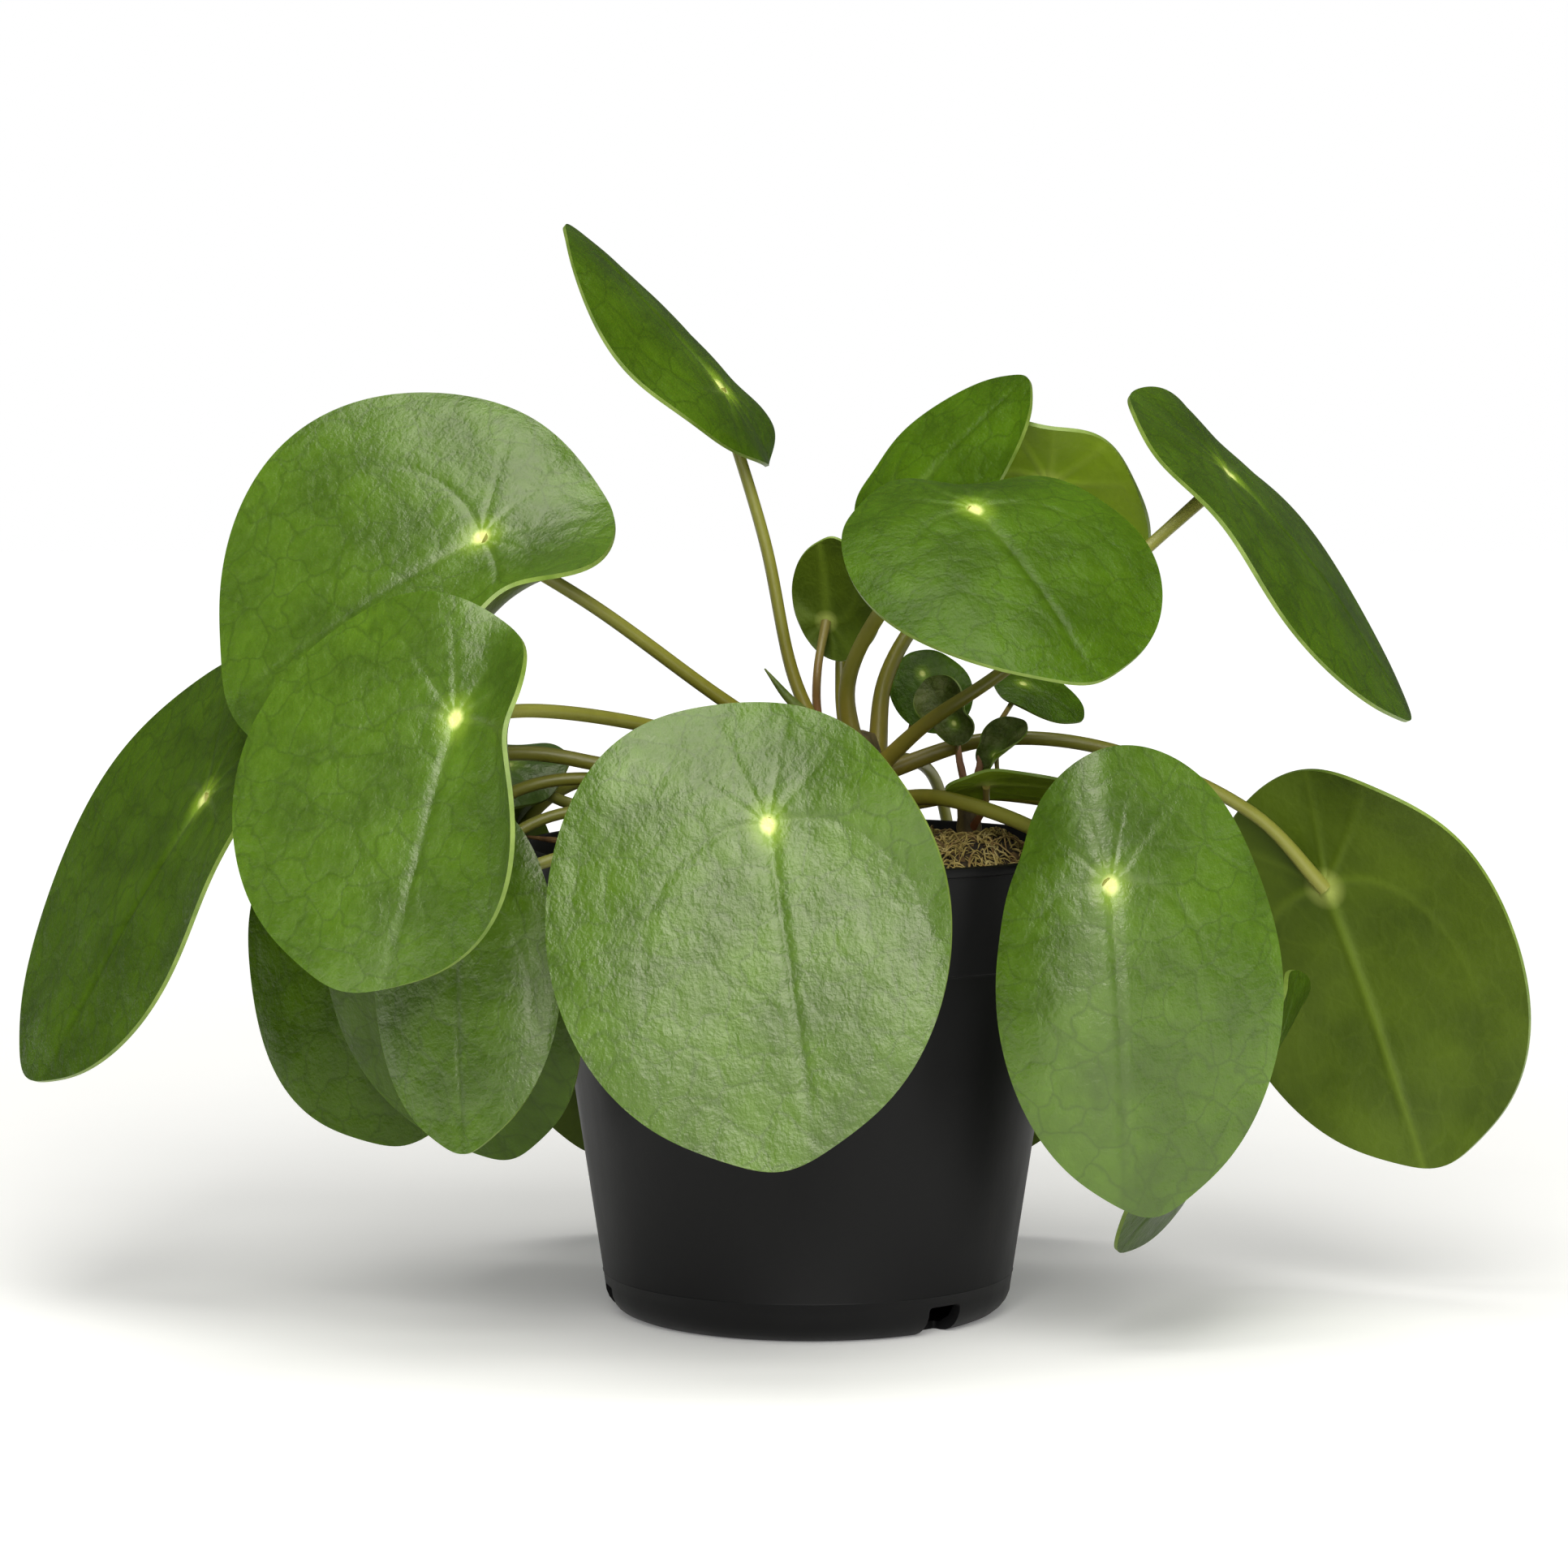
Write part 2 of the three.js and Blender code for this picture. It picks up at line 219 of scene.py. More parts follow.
def turned_shell(name: str, profile: list[tuple[float, float]], segments: int) -> bpy.types.Object:
    """Model a closed body of revolution by extruding a circle from level to level.

    Args:
        name: the object's name.
        profile: radius and height of each level in millimetres, from the middle of the
            underside, up the outside and back down the inside to the middle.
        segments: edges round the body.

    Returns:
        The body, centred on the Z axis.
    """
    deselect()
    radius, height = profile[0]
    bpy.ops.mesh.primitive_circle_add(vertices=segments, radius=mm(radius), fill_type="NGON",
                                      location=(0, 0, mm(height)))
    body = bpy.context.object
    body.name = name
    bpy.ops.object.transform_apply(location=True, rotation=True, scale=True)
    bpy.ops.object.mode_set(mode="EDIT")
    bpy.ops.mesh.select_all(action="SELECT")
    for (radius, height), (wider, higher) in zip(profile, profile[1:]):
        bpy.ops.mesh.extrude_region_move()
        share = wider / radius
        bpy.ops.transform.resize(value=(share, share, 1))
        bpy.ops.transform.translate(value=(0, 0, mm(higher - height)))
    bpy.ops.mesh.select_all(action="SELECT")
    bpy.ops.mesh.normals_make_consistent(inside=False)
    bpy.ops.object.mode_set(mode="OBJECT")
    return body


def smooth(piece: bpy.types.Object, degrees: float) -> None:
    """Shade smooth, except over edges sharper than an angle."""
    activate(piece)
    bpy.ops.object.shade_smooth_by_angle(angle=math.radians(degrees))


def finish_piece(piece: bpy.types.Object, slot: str, *nodes: str) -> None:
    """Ride a piece on the plant's body, hide the CAD nodes it stands for, and log its slot.

    Args:
        piece: the finished mesh object.
        slot: the record's material slot.
        nodes: CAD nodes that the piece replaces.
    """
    activate(piece)
    bpy.ops.object.transform_apply(location=True, rotation=True, scale=True)
    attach(piece, BODY)
    if nodes:
        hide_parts(*nodes)
    LOG.info("%s: %d faces, slot %s, for %s", piece.name, len(piece.data.polygons), slot, nodes)


def seeded(index: int, salt: int) -> float:
    """Return a repeatable number between 0 and 1 for an index and a salt."""
    value = math.sin(index * 12.9898 + salt * 78.233) * 43758.5453
    return value - math.floor(value)


# ------------------------------------------------------------------ finishes


class LeafTone(Enum):
    """How old a leaf is and how much light falls on it, which sets its greens: the darker greens of the
    shaded tones are painted shade.
    """

    MATURE = ("#426006", "#4f700b", "#334d03")
    # Young leaves, a little darker than the mature green: partly their own colour, partly painted shade
    # for leaves that get less light.
    FRESH = ("#3d5a03", "#496a05", "#2f4801")
    # Painted shade: darker greens for the leaves that lie in shade.
    OLD = ("#3a5404", "#456208", "#2c4202")
    YOUNG = ("#4c5a18", "#868b5e", "#37440e")


@dataclass(frozen=True)
class LeafUpper:
    """Waxy upper side of a thick fleshy leaf.

    The wax gives a broad soft sheen; the blade is puckered between a net of sunk veins,
    freckled lighter and darker, and has a bright dot over the joint with its stalk. Sizes
    are millimetres.
    """

    tone: LeafTone
    dot: str = "#e3ec8e"
    halo: str = "#93b42f"
    vein: str = "#7c9a44"
    roughness: float = 0.37
    gloss: float = 0.75
    patch_size: float = 16.0
    freckle_size: float = 2.2
    net_size: float = 8.0
    drift_size: float = 9.0
    wrinkle_size: float = 2.4
    grain_size: float = 0.8
    relief: float = 0.45

    def build(self) -> bpy.types.Material:
        """Make the material.

        Returns:
            The material, which reads the blade's UV map and its vein attribute.
        """
        material, tree, shader = new_finish(f"leaf_upper_{self.tone.name.lower()}")
        base, light, dark = self.tone.value
        flat = add(tree, "UVMap", uv_map="flat_mm").outputs["UV"]
        vein = add(tree, "Attribute", attribute_name="vein", attribute_type="GEOMETRY").outputs["Fac"]
        seat = add(tree, "VectorMath", {0: flat, 1: (0.5, 0.5, 0)}, operation="SUBTRACT").outputs[0]
        patches = add(tree, "TexNoise", {"Vector": flat, "Scale": UV_SPAN / self.patch_size,
                                         "Detail": 3.0}).outputs["Fac"]
        speckle = add(tree, "TexNoise", {"Vector": flat, "Scale": UV_SPAN / self.freckle_size,
                                         "Detail": 4.0}).outputs["Fac"]
        green = add(tree, "ValToRGB", {"Fac": patches},
                    stops=((0.32, dark), (0.5, base), (0.7, light))).outputs["Color"]
        freckles = add(tree, "ValToRGB", {"Fac": speckle},
                       stops=((0.35, base), (0.65, light))).outputs["Color"]
        green = add(tree, "Mix", {0: 0.3, 6: green, 7: freckles}, data_type="RGBA").outputs[2]
        drift = add(tree, "TexNoise", {"Vector": flat, "Scale": UV_SPAN / self.drift_size,
                                       "Detail": 2.0}).outputs["Color"]
        drift = add(tree, "VectorMath", {0: drift, 3: 0.08}, operation="SCALE").outputs[0]
        bent = add(tree, "VectorMath", {0: flat, 1: drift}, operation="ADD").outputs[0]
        cells = add(tree, "TexVoronoi", {"Vector": bent, "Scale": UV_SPAN / self.net_size},
                    feature="DISTANCE_TO_EDGE").outputs["Distance"]
        net = add(tree, "MapRange", {0: cells, 1: 0.0, 2: 0.055, 3: 1.0, 4: 0.0}).outputs[0]
        meshwork = add(tree, "Math", {0: net, 1: 0.55}, operation="MULTIPLY").outputs[0]
        oval = add(tree, "VectorMath", {0: seat, 1: (0.8, 1.0, 1.0)}, operation="MULTIPLY").outputs[0]
        away = add(tree, "VectorMath", {0: oval}, operation="LENGTH").outputs["Value"]
        sunk = add(tree, "Math", {0: vein, 1: 0.4}, operation="MULTIPLY").outputs[0]
        near = add(tree, "MapRange", {0: away, 1: 0.02, 2: 0.13, 3: 0.4, 4: 0.0}).outputs[0]
        pale = add(tree, "Math", {0: vein, 1: near}, operation="MULTIPLY").outputs[0]
        ring = add(tree, "MapRange", {0: away, 1: 0.010, 2: 0.055, 3: 0.48, 4: 0.0},
                   interpolation_type="SMOOTHSTEP").outputs[0]
        core = add(tree, "MapRange", {0: away, 1: 0.007, 2: 0.022, 3: 0.95, 4: 0.0},
                   interpolation_type="SMOOTHSTEP").outputs[0]
        for share, code in ((meshwork, dark), (sunk, dark), (pale, self.vein), (ring, self.halo),
                            (core, self.dot)):
            green = add(tree, "Mix", {0: share, 6: green, 7: linear(code)},
                        data_type="RGBA").outputs[2]
        domes = add(tree, "MapRange", {0: cells, 1: 0.0, 2: 0.35, 3: 0.0, 4: 1.0},
                    interpolation_type="SMOOTHSTEP").outputs[0]
        wrinkles = add(tree, "TexNoise", {"Vector": flat, "Scale": UV_SPAN / self.wrinkle_size,
                                          "Detail": 4.0, "Roughness": 0.62}).outputs["Fac"]
        grain = add(tree, "TexNoise", {"Vector": flat, "Scale": UV_SPAN / self.grain_size,
                                       "Detail": 2.0}).outputs["Fac"]
        height = add(tree, "Math", {0: domes, 1: 0.45}, operation="MULTIPLY").outputs[0]
        for pattern, share in ((wrinkles, 1.4), (grain, 0.35)):
            height = add(tree, "Math", {0: pattern, 1: share, 2: height},
                         operation="MULTIPLY_ADD").outputs[0]
        bump = add(tree, "Bump", {"Height": height, "Strength": 0.55, "Distance": mm(self.relief)})
        wax = add(tree, "MapRange", {0: speckle, 1: 0.3, 2: 0.7, 3: self.roughness - 0.05,
                                     4: self.roughness + 0.07}).outputs[0]
        dress(tree, shader,
              {"Base Color": green, "Normal": bump.outputs["Normal"], "Roughness": wax},
              {"IOR": 1.5, "Specular IOR Level": self.gloss, "Specular Tint": linear("#fffaf0"),
               "Subsurface Weight": 0.12, "Subsurface Radius": (0.5, 1.0, 0.2),
               "Subsurface Scale": mm(1.5)})
        return material


@dataclass(frozen=True)
class LeafUnder:
    """Matt underside of the leaf, olive, with raised paler veins. Sizes are millimetres."""

    name: str = "leaf_underside"
    base: str = "#4c600b"
    dark: str = "#3b4d07"
    vein: str = "#60751c"
    joint: str = "#a8b45a"
    roughness: float = 0.5
    patch_size: float = 22.0
    net_size: float = 8.0
    drift_size: float = 7.0
    grain_size: float = 1.5
    relief: float = 0.3

    def build(self) -> bpy.types.Material:
        """Make the material.

        Returns:
            The material, which reads the blade's UV map and its vein attribute.
        """
        material, tree, shader = new_finish(self.name)
        flat = add(tree, "UVMap", uv_map="flat_mm").outputs["UV"]
        vein = add(tree, "Attribute", attribute_name="vein", attribute_type="GEOMETRY").outputs["Fac"]
        patches = add(tree, "TexNoise", {"Vector": flat, "Scale": UV_SPAN / self.patch_size,
                                         "Detail": 4.0}).outputs["Fac"]
        olive = add(tree, "ValToRGB", {"Fac": patches},
                    stops=((0.35, self.dark), (0.65, self.base))).outputs["Color"]
        drift = add(tree, "TexNoise", {"Vector": flat, "Scale": UV_SPAN / self.drift_size,
                                       "Detail": 3.0}).outputs["Color"]
        drift = add(tree, "VectorMath", {0: drift, 3: 0.09}, operation="SCALE").outputs[0]
        bent = add(tree, "VectorMath", {0: flat, 1: drift}, operation="ADD").outputs[0]
        cells = add(tree, "TexVoronoi", {"Vector": bent, "Scale": UV_SPAN / self.net_size},
                    feature="DISTANCE_TO_EDGE").outputs["Distance"]
        net = add(tree, "MapRange", {0: cells, 1: 0.0, 2: 0.12, 3: 0.10, 4: 0.0}).outputs[0]
        raised = add(tree, "Math", {0: vein, 1: 0.7}, operation="MULTIPLY").outputs[0]
        seat = add(tree, "VectorMath", {0: flat, 1: (0.5, 0.5, 0)}, operation="SUBTRACT").outputs[0]
        away = add(tree, "VectorMath", {0: seat}, operation="LENGTH").outputs["Value"]
        core = add(tree, "MapRange", {0: away, 1: 0.012, 2: 0.05, 3: 0.8, 4: 0.0}).outputs[0]
        for share, code in ((net, self.vein), (raised, self.vein), (core, self.joint)):
            olive = add(tree, "Mix", {0: share, 6: olive, 7: linear(code)},
                        data_type="RGBA").outputs[2]
        grain = add(tree, "TexNoise", {"Vector": flat, "Scale": UV_SPAN / self.grain_size,
                                       "Detail": 3.0}).outputs["Fac"]
        height = add(tree, "Math", {0: net, 1: 2.0, 2: grain}, operation="MULTIPLY_ADD").outputs[0]
        bump = add(tree, "Bump", {"Height": height, "Strength": 0.4, "Distance": mm(self.relief)})
        dress(tree, shader, {"Base Color": olive, "Normal": bump.outputs["Normal"]},
              {"Roughness": self.roughness, "IOR": 1.4, "Specular Tint": linear("#fffbe8")})
        return material


@dataclass(frozen=True)
class TwoTone:
    """A skin whose colour wanders between tones, with a fine relief.

    It serves the leaf's pale edge, the corky stems, the dry sheaths, the buds, the peat and
    the matt painted floor, which differ in colour, in the size of their patches and in how
    rough they are. Sizes are millimetres.
    """

    name: str
    tones: tuple[str, ...]
    patch: float
    relief: float
    relief_size: float
    roughness: float
    stretch: Point = (1.0, 1.0, 1.0)

    def build(self) -> bpy.types.Material:
        """Make the material.

        Returns:
            The material, patterned on Object coordinates.
        """
        material, tree, shader = new_finish(self.name)
        where = add(tree, "TexCoord").outputs["Object"]
        where = add(tree, "Mapping", {"Vector": where, "Scale": self.stretch}).outputs["Vector"]
        patches = add(tree, "TexNoise", {"Vector": where, "Scale": METRE / self.patch, "Detail": 4.0,
                                         "Roughness": 0.6}).outputs["Fac"]
        last = len(self.tones) - 1
        stops = tuple((0.3 + 0.4 * i / last, tone) for i, tone in enumerate(self.tones))
        colour = add(tree, "ValToRGB", {"Fac": patches}, stops=stops).outputs["Color"]
        grain = add(tree, "TexNoise", {"Vector": where, "Scale": METRE / self.relief_size,
                                       "Detail": 4.0}).outputs["Fac"]
        bump = add(tree, "Bump", {"Height": grain, "Strength": 0.6, "Distance": mm(self.relief)})
        uneven = add(tree, "MapRange", {0: patches, 1: 0.3, 2: 0.7, 3: self.roughness - 0.06,
                                        4: min(1.0, self.roughness + 0.06)}).outputs[0]
        dress(tree, shader,
              {"Base Color": colour, "Normal": bump.outputs["Normal"], "Roughness": uneven}, {})
        return material


@dataclass(frozen=True)
class StalkSkin:
    """Smooth skin of a leaf stalk: brown-green at its foot, olive, then pale under the leaf; the foot's
    brown-green is lightened as painted light against the shade that the leaves cast near the stem.

    Sizes are millimetres.
    """

    name: str = "stalk_skin"
    # Painted light: the foot is lighter than its own brown-green to offset the shade of the leaves over
    # it.
    foot: str = "#8a7c2f"
    middle: str = "#6d6a1c"
    head: str = "#8b8c3c"
    roughness: float = 0.4
    mottle_size: float = 5.0
    grain_size: float = 0.8
    relief: float = 0.15

    def build(self) -> bpy.types.Material:
        """Make the material.

        Returns:
            The material, which reads the stalk's along attribute.
        """
        material, tree, shader = new_finish(self.name)
        where = add(tree, "TexCoord").outputs["Object"]
        along = add(tree, "Attribute", attribute_name="along", attribute_type="GEOMETRY").outputs["Fac"]
        mottle = add(tree, "TexNoise", {"Vector": where, "Scale": METRE / self.mottle_size,
                                        "Detail": 4.0}).outputs["Fac"]
        shifted = add(tree, "Math", {0: mottle, 1: 0.3, 2: along},
                      operation="MULTIPLY_ADD").outputs[0]
        skin = add(tree, "ValToRGB", {"Fac": shifted},
                   stops=((0.12, self.foot), (0.45, self.middle), (1.0, self.head))).outputs["Color"]
        grain = add(tree, "TexNoise", {"Vector": where, "Scale": METRE / self.grain_size,
                                       "Detail": 3.0}).outputs["Fac"]
        bump = add(tree, "Bump", {"Height": grain, "Strength": 0.35, "Distance": mm(self.relief)})
        dress(tree, shader, {"Base Color": skin, "Normal": bump.outputs["Normal"]},
              {"Roughness": self.roughness, "Subsurface Weight": 0.1,
               "Subsurface Radius": (0.6, 1.0, 0.25), "Subsurface Scale": mm(1.5)})
        return material


@dataclass(frozen=True)
class MouldedPolypropylene:
    """Black injection-moulded polypropylene: satin, with a faint flow pattern and dust.

    Sizes are millimetres.
    """

    base: str = "#080809"
    bloom: str = "#0d0d0e"
    roughness: float = 0.5
    flow_size: float = 14.0
    dust_size: float = 1.1
    relief: float = 0.06

    def build(self) -> bpy.types.Material:
        """Make the material.

        Returns:
            The material, patterned on Object coordinates.
        """
        material, tree, shader = new_finish("black_polypropylene")
        where = add(tree, "TexCoord").outputs["Object"]
        flow = add(tree, "Mapping", {"Vector": where, "Scale": (1.0, 1.0, 0.25)}).outputs["Vector"]
        streaks = add(tree, "TexNoise", {"Vector": flow, "Scale": METRE / self.flow_size,
                                         "Detail": 4.0}).outputs["Fac"]
        dust = add(tree, "TexNoise", {"Vector": where, "Scale": METRE / self.dust_size,
                                      "Detail": 2.0}).outputs["Fac"]
        black = add(tree, "ValToRGB", {"Fac": streaks},
                    stops=((0.35, self.base), (0.7, self.bloom))).outputs["Color"]
        satin = add(tree, "MapRange", {0: streaks, 1: 0.3, 2: 0.7, 3: self.roughness - 0.06,
                                       4: self.roughness + 0.06}).outputs[0]
        bump = add(tree, "Bump", {"Height": dust, "Strength": 0.25, "Distance": mm(self.relief)})
        dress(tree, shader,
              {"Base Color": black, "Normal": bump.outputs["Normal"], "Roughness": satin},
              {"IOR": 1.4, "Specular IOR Level": 0.3})
        return material


# ------------------------------------------------------------------ leaves


@dataclass(frozen=True)
class Stem:
    """An upright stem that carries leaf stalks, in millimetres."""

    name: str
    x: float
    y: float
    radius: float
    bottom: float
    top: float


TRUNK = Stem("trunk", 9, 0, 6.5, 82, 121)
SHOOT = Stem("side_shoot", 33, -12, 2.6, 82, 112)


@dataclass(frozen=True)
class Leaf:
    """One shield leaf and its stalk, in millimetres and degrees.

    dot is where the stalk joins; tip is the way to the pointed end; face is the way that
    the upper side looks; size is length, width and how far the middle lies to the left of
    the dot; curl is how far the edge has turned down at the tip, the round end, the left
    and the right; root is the compass angle and height where the stalk leaves its stem, and
    via are the points that the stalk passes. ruffle is how far the edge waves, and fold is
    the slope of both halves up from the midrib.
    """

    name: str
    dot: Point
    tip: Point
    face: Point
    size: Point
    curl: tuple[float, float, float, float]
    root: tuple[float, float]
    via: tuple[Point, ...]
    stalk: float
    on: Stem = TRUNK
    tone: LeafTone = LeafTone.MATURE
    ruffle: float = 1.2
    fold: float = 0.0


LEAVES = (
    Leaf("a", (-18, 5, 192), (-66, 5, 75), (68, -23, 60), (64, 52, 0), (10, 15, 20, 20),
         (150, 116), ((-3, 4, 132), (-9, 5, 160)), 2.6, tone=LeafTone.OLD),
    Leaf("b", (-66, -27, 162), (-80, -15, -35), (-20, -85, 50), (88, 88, 0), (25, 28, -74, 10),
         (202, 113), ((-19, -9, 129), (-44, -20, 148)), 2.9, fold=0.05),
    Leaf("c", (-68, -77, 129), (-28, -25, -90), (-35, -88, 30), (77, 71, -9), (10, 8, -66, 15),
         (226, 111), ((-28, -27, 123), (-54, -55, 129)), 2.9, fold=0.05),
    Leaf("d", (-125, -4, 107), (-55, 0, -84), (-76, -42, 50), (98, 80, -10), (10, 10, -2, -6),
         (187, 109), ((-39, -8, 114), (-60, -9, 117)), 3.1, tone=LeafTone.OLD),
    Leaf("e", (-8, -82, 109), (14, -30, -92), (-5, -92, 30), (91, 78, -7), (10, 20, -22, 10),
         (262, 107), ((-1, -40, 117),), 3.1),
    Leaf("f", (59, -60, 95), (8, -20, -95), (15, -95, 15), (92, 61, 6), (15, 10, 10, 40),
         (312, 106), ((27, -24, 109), (45, -37, 104)), 3.2, fold=-0.2),
    Leaf("g", (109, 12, 87), (44, 20, -85), (45, 85, 25), (88, 70, -4), (10, 20, 20, 15),
         (4, 112), ((37, 0, 119), (62, 2, 117), (93, 7, 103)), 2.9),
    Leaf("h", (33, -40, 168), (40, -72, -50), (5, -48, 88), (74, 62, -1), (20, 30, 15, 15),
         (278, 116), ((8, -10, 131), (15, -18, 147)), 3.2, tone=LeafTone.FRESH),
    Leaf("i", (20, 24, 167), (80, 15, 66), (-55, -70, 45), (52, 33, 0), (10, 15, 25, 10),
         (95, 116), ((7, 16, 128), (9, 28, 144), (22, 35, 160)), 2.4, tone=LeafTone.FRESH),
    Leaf("j", (51.6, 36, 171), (-35, 35, -65), (25, 75, 50), (62, 56, 0), (10, 20, 20, 15),
         (20, 116), ((16, 4, 131), (24, 9, 145)), 3.1, tone=LeafTone.FRESH),
    Leaf("k", (87, 0, 174), (70, 0, -68), (66, -22, 68), (88, 66, 0), (20, 10, 5, 15),
         (330, 113), ((24, -10, 123), (41, -13, 135)), 2.8, tone=LeafTone.OLD),
    Leaf("l", (4, 14, 143), (5, 5, 92), (25, 85, 25), (28, 20, 3), (20, 30, 30, 30),
         (130, 111), ((2, 8, 124), (2, 7, 133)), 1.9, ruffle=0.4),
    Leaf("t", (-64, 18, 112), (-60, 20, -25), (-20, -35, 90), (46, 40, 0), (20, 20, 20, 20),
         (168, 104), ((-20, 8, 107), (-48, 14, 104)), 2.6),
    Leaf("u", (-70, -52, 92), (6, -15, -92), (-50, -82, 20), (70, 43, 0), (10, 20, 30, 15),
         (240, 103), ((-20, -36, 105), (-52, -53, 99)), 2.6),
    Leaf("v", (-78, -33, 84), (20, 0, -92), (-35, -80, -20), (74, 57, 0), (10, 10, 20, 20),
         (216, 103), ((-30, -20, 107), (-56, -26, 104)), 2.4, tone=LeafTone.OLD),
    Leaf("w", (-90, -6, 86), (25, 12, -80), (-40, -85, 10), (70, 66, -3), (10, 10, 10, 15),
         (196, 103), ((-30, -5, 110), (-58, -9, 110)), 2.7, tone=LeafTone.OLD),
    Leaf("x", (-69, 31, 88), (-5, 10, -90), (-70, 40, 30), (60, 48, 0), (10, 10, 10, 15),
         (150, 108), ((-34, 22, 111), (-54, 31, 105)), 2.7),
    Leaf("y", (-34, 74, 76), (-12, -8, -92), (-30, 90, 30), (82, 60, 0), (10, 20, 20, 20),
         (118, 108), ((-13, 40, 112), (-24, 55, 106), (-31, 61, 90)), 2.8),
    Leaf("z", (93.5, -18, 54), (-55, -24, -79), (82, -29, -48), (68, 48, 0), (10, 20, 10, 10),
         (350, 105), ((40, -4, 108), (68, -9, 100), (85, -14, 76)), 2.6, tone=LeafTone.OLD),
    Leaf("o", (34, 77, 72), (12, -8, -92), (35, 88, 30), (76, 62, 0), (10, 20, 20, 20),
         (72, 109), ((21, 38, 112), (28, 56, 106), (32, 64, 90)), 2.7),
    Leaf("n", (24, 12, 132), (25, 20, -60), (-10, -80, 50), (20, 17, 0), (20, 20, 20, 20),
         (45, 107), ((21, 9, 119), (23, 14, 128)), 1.3, tone=LeafTone.FRESH, ruffle=0.3),
    Leaf("p", (30, -7, 123), (-40, -5, 60), (-20, -80, 20), (16, 12, 0), (10, 10, -48, -48),
         (100, 107), ((31, -4.5, 115),), 1, on=SHOOT, tone=LeafTone.YOUNG, ruffle=0.3, fold=0.5),
    Leaf("q", (38, -14, 117), (60, 0, 70), (-50, -70, 40), (13, 10, 0), (10, 10, -60, -60),
         (330, 106), ((38.5, -13.5, 111),), 1, on=SHOOT, tone=LeafTone.YOUNG, ruffle=0.2, fold=0.6),
    Leaf("r", (45, 10, 130), (60, -30, -30), (10, -45, 85), (21, 15, 0), (20, 20, 10, 10),
         (60, 109), ((38, -6, 120), (42, 6, 125.5)), 1.2, on=SHOOT,
         tone=LeafTone.FRESH, ruffle=0.3),
    Leaf("s", (36, -23, 112), (60, 0, 4), (-3, 40, 90), (28, 17, 0), (15, 15, 5, 5),
         (290, 102), ((36, -19, 107),), 1.4, on=SHOOT, tone=LeafTone.FRESH, ruffle=0.2),
)


@dataclass(frozen=True)
class Sheet:
    """The points of a blade laid flat, in millimetres.

    along is the distance from the dot towards the tip, across that to the left of the dot,
    and share the share of the way from the dot to the edge.
    """

    along: np.ndarray
    across: np.ndarray
    share: np.ndarray

    @property
    def reach(self) -> np.ndarray:
        """Return each point's distance from the dot."""
        return np.hypot(self.along, self.across)

    @property
    def heading(self) -> np.ndarray:
        """Return each point's angle round the dot, from the tip to the left."""
        return np.arctan2(self.across, self.along)


